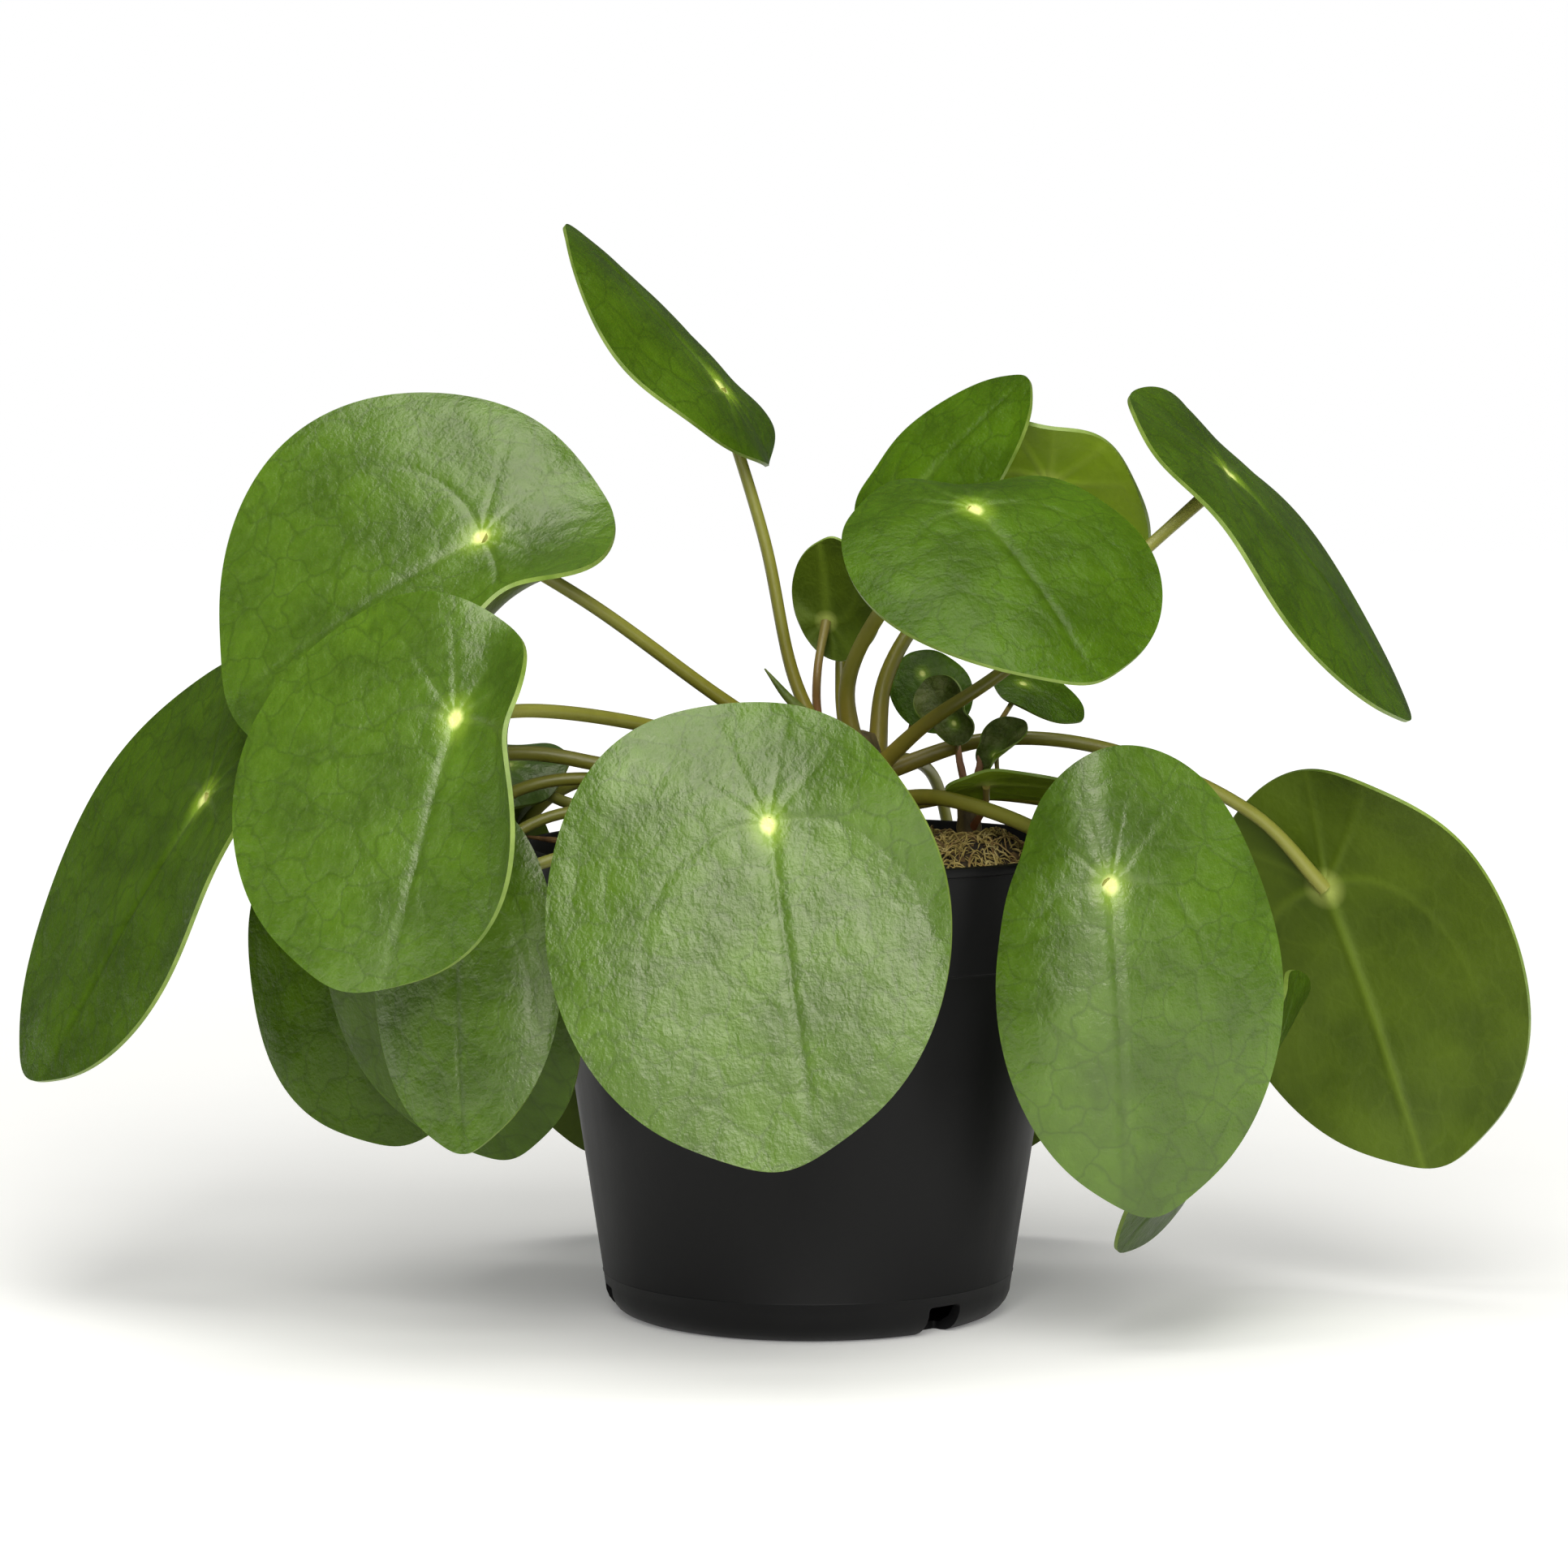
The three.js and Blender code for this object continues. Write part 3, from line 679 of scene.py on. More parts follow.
@dataclass
class BladeMaker:
    """Makes the finely modelled blades, each from a copy of one ringed disc.

    rings and segments set the fineness of the disc, thickness is the blade's, and the
    depths are those of the relief on the upper side, in millimetres. Leaves shorter than
    coarse_length have a finer pattern. dull is the gloss of all but the mature leaves, whose
    wax has built up.
    """

    rings: int = 44
    segments: int = 180
    thickness: float = 0.9
    dot_share: float = 0.2
    point: float = 0.05
    vein_depth: float = 0.45
    pucker: float = 0.13
    pucker_size: float = 7.0
    wave_size: float = 24.0
    coarse_length: float = 50.0
    dimple: float = 0.3
    dull: float = 0.25
    materials: dict[LeafTone, list[bpy.types.Material]] = field(default_factory=dict)
    disc: bpy.types.Object | None = None

    def prepare(self) -> None:
        """Make the shared disc and the three finishes of each tone."""
        radii = [1 - i / self.rings for i in range(self.rings)]
        self.disc = ringed_disc("blade_pattern", radii, self.segments)
        ripe = LeafUnder().build()
        # Olive of the young undersides, paler than the ripe one: partly their own paler colour, partly
        # painted light that shines through the thin young blades.
        young = LeafUnder("young_underside_painted_light", "#84a01e", "#728e18", "#98b040").build()
        # The cut-thin rim lets light through, so it looks like a pale yellow-green line.
        edge = TwoTone("leaf_edge", ("#5d7720", "#7f9540"), 6, 0.1, 1.0, 0.45).build()
        for tone in LeafTone:
            under = young if tone in (LeafTone.FRESH, LeafTone.YOUNG) else ripe
            upper = LeafUpper(tone) if tone is LeafTone.MATURE else LeafUpper(tone, gloss=self.dull)
            self.materials[tone] = [upper.build(), under, edge]

    def frame_of(self, leaf: Leaf) -> Matrix:
        """Return the matrix from the blade's own frame to the plant's, in millimetres.

        Args:
            leaf: the leaf.

        Returns:
            The matrix: forward to the tip, left, and up from the upper side.
        """
        normal = Vector(leaf.face).normalized()
        towards = Vector(leaf.tip)
        forward = (towards - normal * towards.dot(normal)).normalized()
        left = normal.cross(forward)
        turn = Matrix((forward, left, normal)).transposed().to_4x4()
        return Matrix.Translation(Vector(leaf.dot)) @ turn

    def veins(self, leaf: Leaf, sheet: Sheet) -> np.ndarray:
        """Tell how close each point is to a main vein.

        Args:
            leaf: the leaf.
            sheet: its flat points.

        Returns:
            One on a vein, falling to zero beside it.
        """
        length, width, _ = leaf.size
        forward, aside = sheet.along / length, sheet.across / width
        reach = np.hypot(forward, aside)
        heading = np.abs(np.arctan2(aside, forward))
        fade = np.clip(1.15 - 1.5 * reach, 0.25, 1)
        midrib = np.where(sheet.along > 0, np.abs(sheet.across), 99.0)
        arch = math.radians(100) * np.clip(1 - reach / 0.75, 0, 1) ** 0.7

        def beside(course: np.ndarray | float) -> np.ndarray:
            """Return each point's distance from a vein that follows a heading."""
            return sheet.reach * np.abs(np.sin(np.clip(heading - course, -1.5, 1.5)))

        close = np.exp(-(midrib / (0.5 + 0.8 * fade)) ** 2)
        close = np.maximum(close, 0.6 * fade * np.exp(-(beside(arch) / 0.9) ** 2))
        for turn in (128, 160):
            ray = beside(math.radians(turn))
            close = np.maximum(close, 0.5 * fade * np.exp(-(ray / 0.8) ** 2))
        return close

    def bend(self, leaf: Leaf, sheet: Sheet, lift: np.ndarray) -> np.ndarray:
        """Bend a flat blade to the way that its edges have turned.

        Args:
            leaf: the leaf.
            sheet: its flat points.
            lift: height above the middle surface.

        Returns:
            Points in the blade's own frame, in millimetres.
        """
        tip, base, left, right = (math.radians(angle) for angle in leaf.curl)
        heading = sheet.heading
        lengthwise = np.where(sheet.along > 0, tip, base)
        crosswise = np.where(sheet.across > 0, left, right)
        bend = sheet.share * (lengthwise * np.cos(heading) ** 2 + crosswise * np.sin(heading) ** 2)
        safe = np.where(np.abs(bend) < 1e-4, 1e-4, bend)
        out = sheet.reach * np.sin(safe) / safe + lift * np.sin(bend)
        down = sheet.reach * (1 - np.cos(safe)) / safe
        return np.stack([out * np.cos(heading), out * np.sin(heading), lift * np.cos(bend) - down], 1)

    def relief(self, leaf: Leaf, index: int, sheet: Sheet, vein: np.ndarray) -> np.ndarray:
        """Work out how far the blade stands above its smooth middle surface.

        Args:
            leaf: the leaf.
            index: its place in the table, which seeds its waves.
            sheet: its flat points.
            vein: closeness to a main vein.

        Returns:
            Heights in millimetres.
        """
        small = min(1.0, leaf.size[0] / 60)
        offset = 100.0 * seeded(index, 3)

        def lumps(size: float, level: float) -> np.ndarray:
            """Return a smooth random height of lumps of a size at each point."""
            return np.array([noise.noise(Vector((u / size + offset, v / size, level)))
                             for u, v in zip(sheet.along, sheet.across)])

        wave = (np.sin(3 * sheet.heading + 6.3 * seeded(index, 1))
                + 0.6 * np.sin(5 * sheet.heading + 6.3 * seeded(index, 2)))
        height = leaf.ruffle * sheet.share ** 2.2 * wave
        inside = 1 - sheet.share
        swell = 1.1 * lumps(self.wave_size, 5.0) * sheet.share
        swell = self.pucker * lumps(self.pucker_size, 0.0) + swell
        height += small * np.clip(inside * 8, 0, 1) * swell
        height -= small * self.vein_depth * vein * np.clip(inside * 5, 0, 1)
        height -= small * self.dimple * np.exp(-(sheet.reach / (2.6 * small)) ** 2)
        height += leaf.fold * (np.hypot(sheet.across, 3.0) - 3.0)
        return height

    def make(self, leaf: Leaf, index: int) -> bpy.types.Object:
        """Model one blade.

        Args:
            leaf: the leaf.
            index: its place in the table.

        Returns:
            The finished blade.
        """
        piece = self.disc.copy()
        piece.data = self.disc.data.copy()
        piece.name = f"blade_{leaf.name}"
        bpy.context.scene.collection.objects.link(piece)
        mesh = piece.data
        count = len(mesh.vertices)
        co = np.empty(count * 3)
        mesh.vertices.foreach_get("co", co)
        co = co.reshape(-1, 3)
        share = np.hypot(co[:, 0], co[:, 1])
        angle = np.arctan2(co[:, 1], co[:, 0])
        length, width, aside = leaf.size
        point = 1 + self.point * np.maximum(0, np.cos(angle)) ** 30
        sheet = Sheet(share * (self.dot_share * length + 0.5 * length * np.cos(angle) * point),
                      share * (aside + 0.5 * width * np.sin(angle)), share)
        vein = self.veins(leaf, sheet)
        bent = self.bend(leaf, sheet, self.relief(leaf, index, sheet, vein))
        turn = np.array(self.frame_of(leaf))
        world = (bent @ turn[:3, :3].T + turn[:3, 3]) / METRE
        mesh.vertices.foreach_set("co", world.ravel())
        mesh.attributes.new("vein", "FLOAT", "POINT").data.foreach_set("value", vein)
        flat = mesh.uv_layers.new(name="flat_mm")
        corners = np.array([loop.vertex_index for loop in mesh.loops])
        fineness = max(1.0, self.coarse_length / length)
        uv = np.stack([sheet.along[corners], sheet.across[corners]], 1) * fineness / UV_SPAN + 0.5
        flat.data.foreach_set("uv", uv.ravel())
        mesh.update()
        for material in self.materials[leaf.tone]:
            mesh.materials.append(material)
        apply_modifier(piece, "SOLIDIFY", thickness=mm(self.thickness * min(1.0, leaf.size[0] / 40)),
                       offset=0.0, material_offset=1, material_offset_rim=2)
        smooth(piece, 50)
        finish_piece(piece, "leaf", f"leaf_{leaf.name}")
        return piece

    def clear(self) -> None:
        """Remove the shared disc."""
        bpy.data.objects.remove(self.disc)


# ------------------------------------------------------------------ stalks and spikes


@dataclass
class RodMaker:
    """Makes round tapering rods along smooth routes."""

    sides: int = 4
    step: float = 2.0

    def route(self, points: list[Vector]) -> list[Vector]:
        """Lay a smooth route through points.

        Args:
            points: the points to pass, in millimetres.

        Returns:
            Closely spaced points, on a centripetal Catmull-Rom curve.
        """
        ends = [2 * points[0] - points[1], *points, 2 * points[-1] - points[-2]]
        track = []
        for a, b, c, d in zip(ends, ends[1:], ends[2:], ends[3:]):
            count = max(2, round((c - b).length / self.step))
            gaps = [max(1e-4, (n - m).length ** 0.5) for m, n in ((a, b), (b, c), (c, d))]
            near = (b - a) / gaps[0] - (c - a) / (gaps[0] + gaps[1]) + (c - b) / gaps[1]
            far = (c - b) / gaps[1] - (d - b) / (gaps[1] + gaps[2]) + (d - c) / gaps[2]
            near, far = near * gaps[1], far * gaps[1]
            for i in range(count):
                t = i / count
                track.append(b + near * t + (3 * (c - b) - 2 * near - far) * t ** 2
                             + (2 * (b - c) + near + far) * t ** 3)
        return [*track, points[-1]]

    def make(self, name: str, points: list[Vector], radii: list[float]) -> bpy.types.Object:
        """Model one rod as a bevelled path and make it a mesh.

        Args:
            name: the rod's name.
            points: points that it passes, in millimetres.
            radii: radii in millimetres, spread evenly along it.

        Returns:
            A closed mesh with an attribute "along" from zero at its foot to one at its head.
        """
        track = self.route(points)
        spread = np.linspace(0, 1, len(radii))
        where = np.linspace(0, 1, len(track))
        thick = np.interp(where, spread, radii)
        deselect()
        bpy.ops.curve.primitive_nurbs_path_add()
        rod = bpy.context.object
        rod.name = name
        path = rod.data
        path.splines.clear()
        spline = path.splines.new("POLY")
        spline.points.add(len(track) - 1)
        for point, middle, radius in zip(spline.points, track, thick):
            point.co = (*(middle / METRE), 1.0)
            point.radius = radius
        path.dimensions = "3D"
        path.twist_mode = "MINIMUM"
        path.bevel_depth = mm(1.0)
        path.bevel_resolution = self.sides
        path.use_fill_caps = True
        activate(rod)
        bpy.ops.object.convert(target="MESH")
        rod = bpy.context.object
        weld_caps(rod)
        self.mark_along(rod, track, where)
        smooth(rod, 45)
        return rod

    def mark_along(self, rod: bpy.types.Object, track: list[Vector], where: np.ndarray) -> None:
        """Store how far along the rod each point lies.

        Args:
            rod: the rod's mesh object.
            track: the middle of the rod, in millimetres.
            where: the share of the way of each point of the track.
        """
        middle = np.array([tuple(point) for point in track]) / METRE
        co = np.array([tuple(vertex.co) for vertex in rod.data.vertices])
        nearest = np.linalg.norm(co[:, None, :] - middle[None, :, :], axis=2).argmin(1)
        attribute = rod.data.attributes.new("along", "FLOAT", "POINT")
        attribute.data.foreach_set("value", where[nearest])


def weld_caps(piece: bpy.types.Object) -> None:
    """Merge doubled points and turn all faces outwards."""
    activate(piece)
    bpy.ops.object.mode_set(mode="EDIT")
    bpy.ops.mesh.select_all(action="SELECT")
    bpy.ops.mesh.remove_doubles(threshold=1e-6)
    bpy.ops.mesh.normals_make_consistent(inside=False)
    bpy.ops.object.mode_set(mode="OBJECT")


@dataclass
class StalkMaker:
    """Makes the leaf stalks, thicker at the foot and flared under the blade.

    sunk is how deep a stalk starts inside its stem and short how far under the blade's
    middle surface it ends, in millimetres. A stalk thinner than young_width is a young one.
    """

    rods: RodMaker
    foot_flare: float = 1.35
    head_flare: float = 1.15
    sunk: float = 0.8
    short: float = 0.8
    young_width: float = 2.0
    ordinary: bpy.types.Material | None = None
    young: bpy.types.Material | None = None

    def prepare(self) -> None:
        """Make the two skins: olive, and the red-brown one of young stalks."""
        self.ordinary = StalkSkin().build()
        self.young = StalkSkin("young_stalk_skin", "#74432a", "#7d5230", "#7d7238").build()

    def make(self, leaf: Leaf) -> bpy.types.Object:
        """Model one stalk from inside its stem to the underside of its blade.

        Args:
            leaf: the leaf that the stalk carries.

        Returns:
            The finished stalk.
        """
        compass, height = leaf.root
        outward = Vector((math.cos(math.radians(compass)), math.sin(math.radians(compass)), 0))
        start = Vector((leaf.on.x, leaf.on.y, height)) + outward * (leaf.on.radius - self.sunk)
        normal = Vector(leaf.face).normalized()
        end = Vector(leaf.dot) - normal * self.short
        points = [start, *(Vector(point) for point in leaf.via), end]
        radius = leaf.stalk / 2
        swell = (self.foot_flare, 1.1, 1.0, 1.0, 0.97, 0.95, self.head_flare)
        radii = [radius * share for share in swell]
        piece = self.rods.make(f"petiole_{leaf.name}", points, radii)
        piece.data.materials.append(self.young if leaf.stalk < self.young_width else self.ordinary)
        finish_piece(piece, "leaf_stalk", f"stalk_{leaf.name}")
        return piece


@dataclass(frozen=True)
class Spike:
    """A slim pointed piece, in millimetres, that bows a little on its way."""

    name: str
    foot: Point
    point: Point
    width: float
    bow: Point
    slot: str
    skin: TwoTone


# Dried papery sheath: matt and red-brown, going paler where it is thin.
SHEATH_SKIN = TwoTone("dry_sheath", ("#8a5f48", "#b58a6c"), 3, 0.2, 0.6, 0.7)
# Young bud scale: half waxy, dull green with lighter patches.
BUD_SKIN = TwoTone("bud_scale", ("#3f4f18", "#66742c"), 4, 0.2, 0.8, 0.5)
# Withered stalk: shrunk and matt, dark brown to straw.
WITHERED_SKIN = TwoTone("withered_stem_skin", ("#3c2817", "#6d4f2c", "#8f7342"), 4, 0.4, 0.8, 0.85)

SPIKES = (
    Spike("stipule_left", (32, -13, 112.5), (31, -15.5, 119), 1.6, (-0.6, -0.3, 0),
          "sheath", SHEATH_SKIN),
    Spike("stipule_right", (34.3, -13, 112.5), (34.6, -15.5, 117), 1.6, (0.6, -0.2, 0),
          "sheath", SHEATH_SKIN),
    Spike("trunk_bud", (4.5, -1, 121), (-9, -3, 134), 2.2, (-0.9, 0, -0.6),
          "leaf_stalk", BUD_SKIN),
    Spike("withered_stalk", (-22, -16, 94.5), (-59, -20, 101), 2.4, (0, 0.8, 0.4),
          "withered_stem", WITHERED_SKIN),
)


def make_spike(spike: Spike, rods: RodMaker) -> bpy.types.Object:
    """Model one spike.

    Args:
        spike: its sizes.
        rods: the maker of rods.

    Returns:
        The finished spike.
    """
    foot, point = Vector(spike.foot), Vector(spike.point)
    middle = (foot + point) / 2 + Vector(spike.bow)
    radii = [spike.width / 2 * share for share in (0.6, 0.9, 1.0, 0.95, 0.8, 0.5, 0.15)]
    piece = rods.make(f"{spike.name}_piece", [foot, middle, point], radii)
    piece.data.materials.append(spike.skin.build())
    finish_piece(piece, spike.slot, spike.name)
    return piece


# ------------------------------------------------------------------ stems


@dataclass
class StemMaker:
    """Makes the short upright stems, ringed by the scars of fallen leaves."""

    segments: int = 40
    ring_gap: float = 2.2
    bark: bpy.types.Material | None = None

    def make(self, stem: Stem) -> bpy.types.Object:
        """Model one stem.

        Args:
            stem: its sizes.

        Returns:
            The finished stem.
        """
        if self.bark is None:  # Corky old stem: matt, rough and brown-olive in long patches.
            tones = ("#3b3018", "#5f5128", "#7a6b38")
            self.bark = TwoTone("corky_stem", tones, 5, 0.5, 1.2, 0.75, (1.0, 1.0, 0.5)).build()
        rings = int((stem.top - stem.bottom) / self.ring_gap)
        profile = [(stem.radius * 0.9, stem.bottom)]
        for i in range(1, rings):
            swell = 1.0 if i % 2 else 0.93
            profile.append((stem.radius * swell, stem.bottom + i * self.ring_gap))
        profile += [(stem.radius * 0.75, stem.top - 0.8), (stem.radius * 0.4, stem.top - 0.1)]
        piece = turned_shell(f"{stem.name}_piece", profile, self.segments)
        for vertex in piece.data.vertices:
            vertex.co.x += mm(stem.x)
            vertex.co.y += mm(stem.y)
            knobble = noise.noise_vector(vertex.co * 260.0)
            vertex.co += knobble * mm(0.28 * min(1.0, stem.radius / 4))
        piece.data.materials.append(self.bark)
        smooth(piece, 60)
        finish_piece(piece, "bark", stem.name)
        return piece


# ------------------------------------------------------------------ pot and peat


@dataclass
class NurseryPot:
    """A round thin-walled pot with a deep straight band, in millimetres."""

    height: float = 97.5
    rim_radius: float = 60.0
    band_height: float = 22.0
    band_foot_radius: float = 56.8
    body_top_radius: float = 52.9
    body_foot_radius: float = 42.4
    foot_corner: float = 6.0
    wall: float = 1.4
    base: float = 1.6
    lip_height: float = 1.8
    lip_proud: float = 0.6
    slot_width: float = 8.4
    slot_height: float = 6.3
    slot_reach: float = 8.0
    slot_overshoot: float = 4.0
    slot_corner: float = 0.8
    slot_angles: tuple[float, ...] = (-49, -169, 71)
    mould_ring: float = 8.5
    segments: int = 160

    def body_radius(self, height: float) -> float:
        """Return the outer radius of the body at a height."""
        share = (height - self.foot_corner) / (self.height - self.band_height - self.foot_corner)
        return self.body_foot_radius + (self.body_top_radius - self.body_foot_radius) * share

    def band_radius(self, height: float) -> float:
        """Return the outer radius of the band at a height."""
        share = (height - self.height + self.band_height) / self.band_height
        top = self.rim_radius - self.lip_proud
        return self.band_foot_radius + (top - self.band_foot_radius) * share

    def profile(self) -> list[tuple[float, float]]:
        """Return the levels of the shell, up the outside and down the inside."""
        flat = self.body_foot_radius - self.foot_corner
        foot = self.height - self.band_height
        lip = self.height - self.lip_height
        corner = [(flat + self.foot_corner * math.sin(math.radians(a)),
                   self.foot_corner * (1 - math.cos(math.radians(a)))) for a in range(0, 100, 15)]
        ring = self.mould_ring
        outside = [
            (2.0, 0.0), *corner,
            (self.body_radius(ring - 0.25), ring - 0.25),
            (self.body_radius(ring) + 0.12, ring),
            (self.body_radius(ring + 0.25), ring + 0.25),
            *((self.body_radius(level), level) for level in (30, 55, foot - 1.2)),
            (self.body_radius(foot) + 0.3, foot - 0.5),
            (self.band_foot_radius - 0.5, foot - 0.1),
            (self.band_foot_radius - 0.1, foot + 0.1),
            *((self.band_radius(level), level) for level in (foot + 0.5, foot + 11, lip - 0.2)),
            (self.rim_radius - 0.15, lip + 0.05),
            (self.rim_radius, lip + 0.4),
            (self.rim_radius, self.height - 0.5),
            (self.rim_radius - 0.15, self.height - 0.15),
            (self.rim_radius - 0.5, self.height),
        ]
        inside = [
            (self.rim_radius - self.lip_proud - self.wall, self.height),
            (self.rim_radius - self.lip_proud - self.wall - 0.2, self.height - 0.3),
            (self.band_radius(foot + 11) - self.wall, foot + 11),
            (self.band_radius(foot + 1.6) - self.wall, foot + 1.6),
            (self.body_radius(foot) - self.wall, foot + 0.6),
            (self.body_radius(30) - self.wall, 30),
            (self.body_radius(self.foot_corner) - self.wall, self.foot_corner + 0.6),
            (flat + 2.6, self.base + 1.8),
            (flat - 0.4, self.base),
            (2.0, self.base),
        ]
        return outside + inside

    def cut_slots(self, shell: bpy.types.Object) -> None:
        """Cut the drain slots out of the foot.

        Args:
            shell: the pot's shell.
        """
        for angle in self.slot_angles:
            deselect()
            reach = self.slot_reach + self.slot_overshoot
            middle = self.body_foot_radius - self.slot_reach + reach / 2
            bpy.ops.mesh.primitive_cube_add(size=1, location=(mm(middle), 0, 0))
            cutter = bpy.context.object
            cutter.scale = (mm(reach), mm(self.slot_width), mm(2 * self.slot_height))
            bpy.ops.object.transform_apply(location=True, rotation=True, scale=True)
            apply_modifier(cutter, "BEVEL", width=mm(self.slot_corner), segments=3)
            cutter.data.transform(Matrix.Rotation(math.radians(angle), 4, "Z"))
            apply_modifier(shell, "BOOLEAN", operation="DIFFERENCE", object=cutter, solver="EXACT")
            bpy.data.objects.remove(cutter)

    def make(self) -> bpy.types.Object:
        """Model the pot.

        Returns:
            The finished pot.
        """
        shell = turned_shell("nursery_pot", self.profile(), self.segments)
        self.cut_slots(shell)
        shell.data.materials.append(MouldedPolypropylene().build())
        smooth(shell, 35)
        finish_piece(shell, "pot_plastic", "pot")
        return shell


@dataclass
class Peat:
    """The peat: a lumpy mound, strewn with crumbs, fibres and tufts of dry moss.

    Lengths are millimetres. Each tuft has its place, its width and how far it rises. Nothing
    is strewn further out than reach.
    """

    pot: NurseryPot
    edge_height: float = 89.0
    crown_height: float = 99.0
    gap: float = 0.3
    rings: int = 36
    reach: float = 56.0
    crumbs: int = 620
    fibres: int = 900
    moss: int = 1500
    strand_sides: int = 4
    strand_joints: int = 7
    tufts: tuple[tuple[float, float, float, float], ...] = (
        (38, -24, 10, 8), (-42, -26, 8, 5), (14, -38, 9, 5), (-20, 30, 9, 4), (30, 25, 8, 3))
    materials: dict[str, bpy.types.Material] = field(default_factory=dict)

    def surface(self, x: float, y: float) -> float:
        """Return the height of the mound at a place."""
        away = min(1.0, math.hypot(x - TRUNK.x, y - TRUNK.y) / 48)
        mound = self.crown_height + (self.edge_height - self.crown_height) * away ** 1.5
        lumps = math.sin(x * 0.31 + 1) * math.cos(y * 0.27) + 0.6 * math.sin(x * 0.11 - y * 0.19)
        clods = (noise.noise(Vector((x / 5.0, y / 5.0, 0.0)))
                 + 0.5 * noise.noise(Vector((x / 1.8, y / 1.8, 3.0))))
        tufts = sum(rise * math.exp(-((x - u) ** 2 + (y - v) ** 2) / (2 * wide ** 2))
                    for u, v, wide, rise in self.tufts)
        return mound + 0.7 * lumps + 1.2 * clods + tufts

    def prepare(self) -> None:
        """Make the finishes: dark damp peat, and its drier, paler crumbs, roots and moss."""
        finishes = {
            "peat": TwoTone("damp_peat", ("#120d07", "#2a2012", "#43341c"), 3, 1.2, 1.4, 0.95),
            "crumb": TwoTone("peat_crumb", ("#2a1f11", "#574324", "#7f663b"), 4, 0.4, 0.9, 0.95),
            "fibre": TwoTone("root_fibre", ("#5c4320", "#856a3c", "#a8935e"), 5, 0.1, 0.6, 0.85),
            "moss": TwoTone("dry_moss", ("#736630", "#9c884a", "#c0b078"), 4, 0.1, 0.6, 0.85),
        }
        self.materials = {kind: finish.build() for kind, finish in finishes.items()}

    def make_ball(self) -> bpy.types.Object:
        """Model the root ball and its lumpy top.

        Returns:
            The finished ball.
        """
        pot = self.pot
        floor = pot.base + 5
        foot = pot.height - pot.band_height
        inset = pot.wall + self.gap
        top = pot.band_radius(self.edge_height - 2) - inset
        profile = [
            (3.0, floor),
            (pot.body_radius(floor) - pot.wall - 5, floor),
            (pot.body_radius(floor + 6) - inset, floor + 6),
            (pot.body_radius(foot - 1) - inset, foot - 1),
            (pot.body_radius(foot - 1) - inset, foot + 3),
            (pot.band_radius(foot + 4) - inset, foot + 4),
            (top, self.edge_height - 2),
        ]
        profile += [(top * (1 - i / self.rings), self.edge_height) for i in range(self.rings)]
        profile.append((0.4, self.edge_height))
        ball = turned_shell("peat_ball", profile, 120)
        for vertex in ball.data.vertices:
            x, y, z = vertex.co * METRE
            if z > self.edge_height - 0.5:
                vertex.co.z = mm(self.surface(x, y))
        ball.data.materials.append(self.materials["peat"])
        smooth(ball, 60)
        finish_piece(ball, "peat", "soil")
        return ball

    def spot(self, index: int, salt: int) -> tuple[float, float, float]:
        """Choose a repeatable place on the mound.

        Args:
            index: number of the crumb or fibre.
            salt: tells the kinds apart.

        Returns:
            Its place in millimetres, on the surface.
        """
        away = self.reach * math.sqrt(seeded(index, salt))
        turn = 2 * math.pi * seeded(index, salt + 1)
        x, y = away * math.cos(turn), away * math.sin(turn)
        return x, y, self.surface(x, y)

    def make_crumbs(self) -> bpy.types.Object:
        """Model loose crumbs of peat lying on the mound.

        Returns:
            One piece that holds them all.
        """
        deselect()
        bpy.ops.mesh.primitive_ico_sphere_add(subdivisions=1, radius=1.0)
        lump = bpy.context.object
        corners = np.array([tuple(v.co) for v in lump.data.vertices])
        faces = [tuple(p.vertices) for p in lump.data.polygons]
        bpy.data.objects.remove(lump)
        points, polygons = [], []
        for i in range(self.crumbs):
            middle = np.array(self.spot(i, 11))
            size = 0.5 + 1.6 * seeded(i, 14) ** 2
            squash = np.array([1.0, 0.6 + 0.5 * seeded(i, 15), 0.5 + 0.4 * seeded(i, 16)])
            jitter = np.array([[seeded(i * 12 + k, 17 + axis) for axis in range(3)]
                               for k in range(len(corners))])
            turn = np.array(Matrix.Rotation(6.3 * seeded(i, 18), 3, "Z"))
            shape = (corners * squash * (0.75 + 0.5 * jitter)) @ turn.T * size
            start = len(points)
            points += [tuple(point) for point in (shape + middle) / METRE]
            polygons += [tuple(start + k for k in face) for face in faces]
        crumbs = mesh_piece("peat_crumbs", points, polygons, self.materials["crumb"])
        finish_piece(crumbs, "peat")
        return crumbs

    def near_tuft(self, index: int) -> tuple[float, float]:
        """Choose a repeatable place on one of the tufts.

        Args:
            index: number of the strand.

        Returns:
            Its place in millimetres.
        """
        u, v, wide, _ = self.tufts[int(seeded(index, 51) ** 1.6 * len(self.tufts))]
        away = wide * 1.5 * math.sqrt(seeded(index, 52))
        turn = 6.3 * seeded(index, 53)
        return u + away * math.cos(turn), v + away * math.sin(turn)

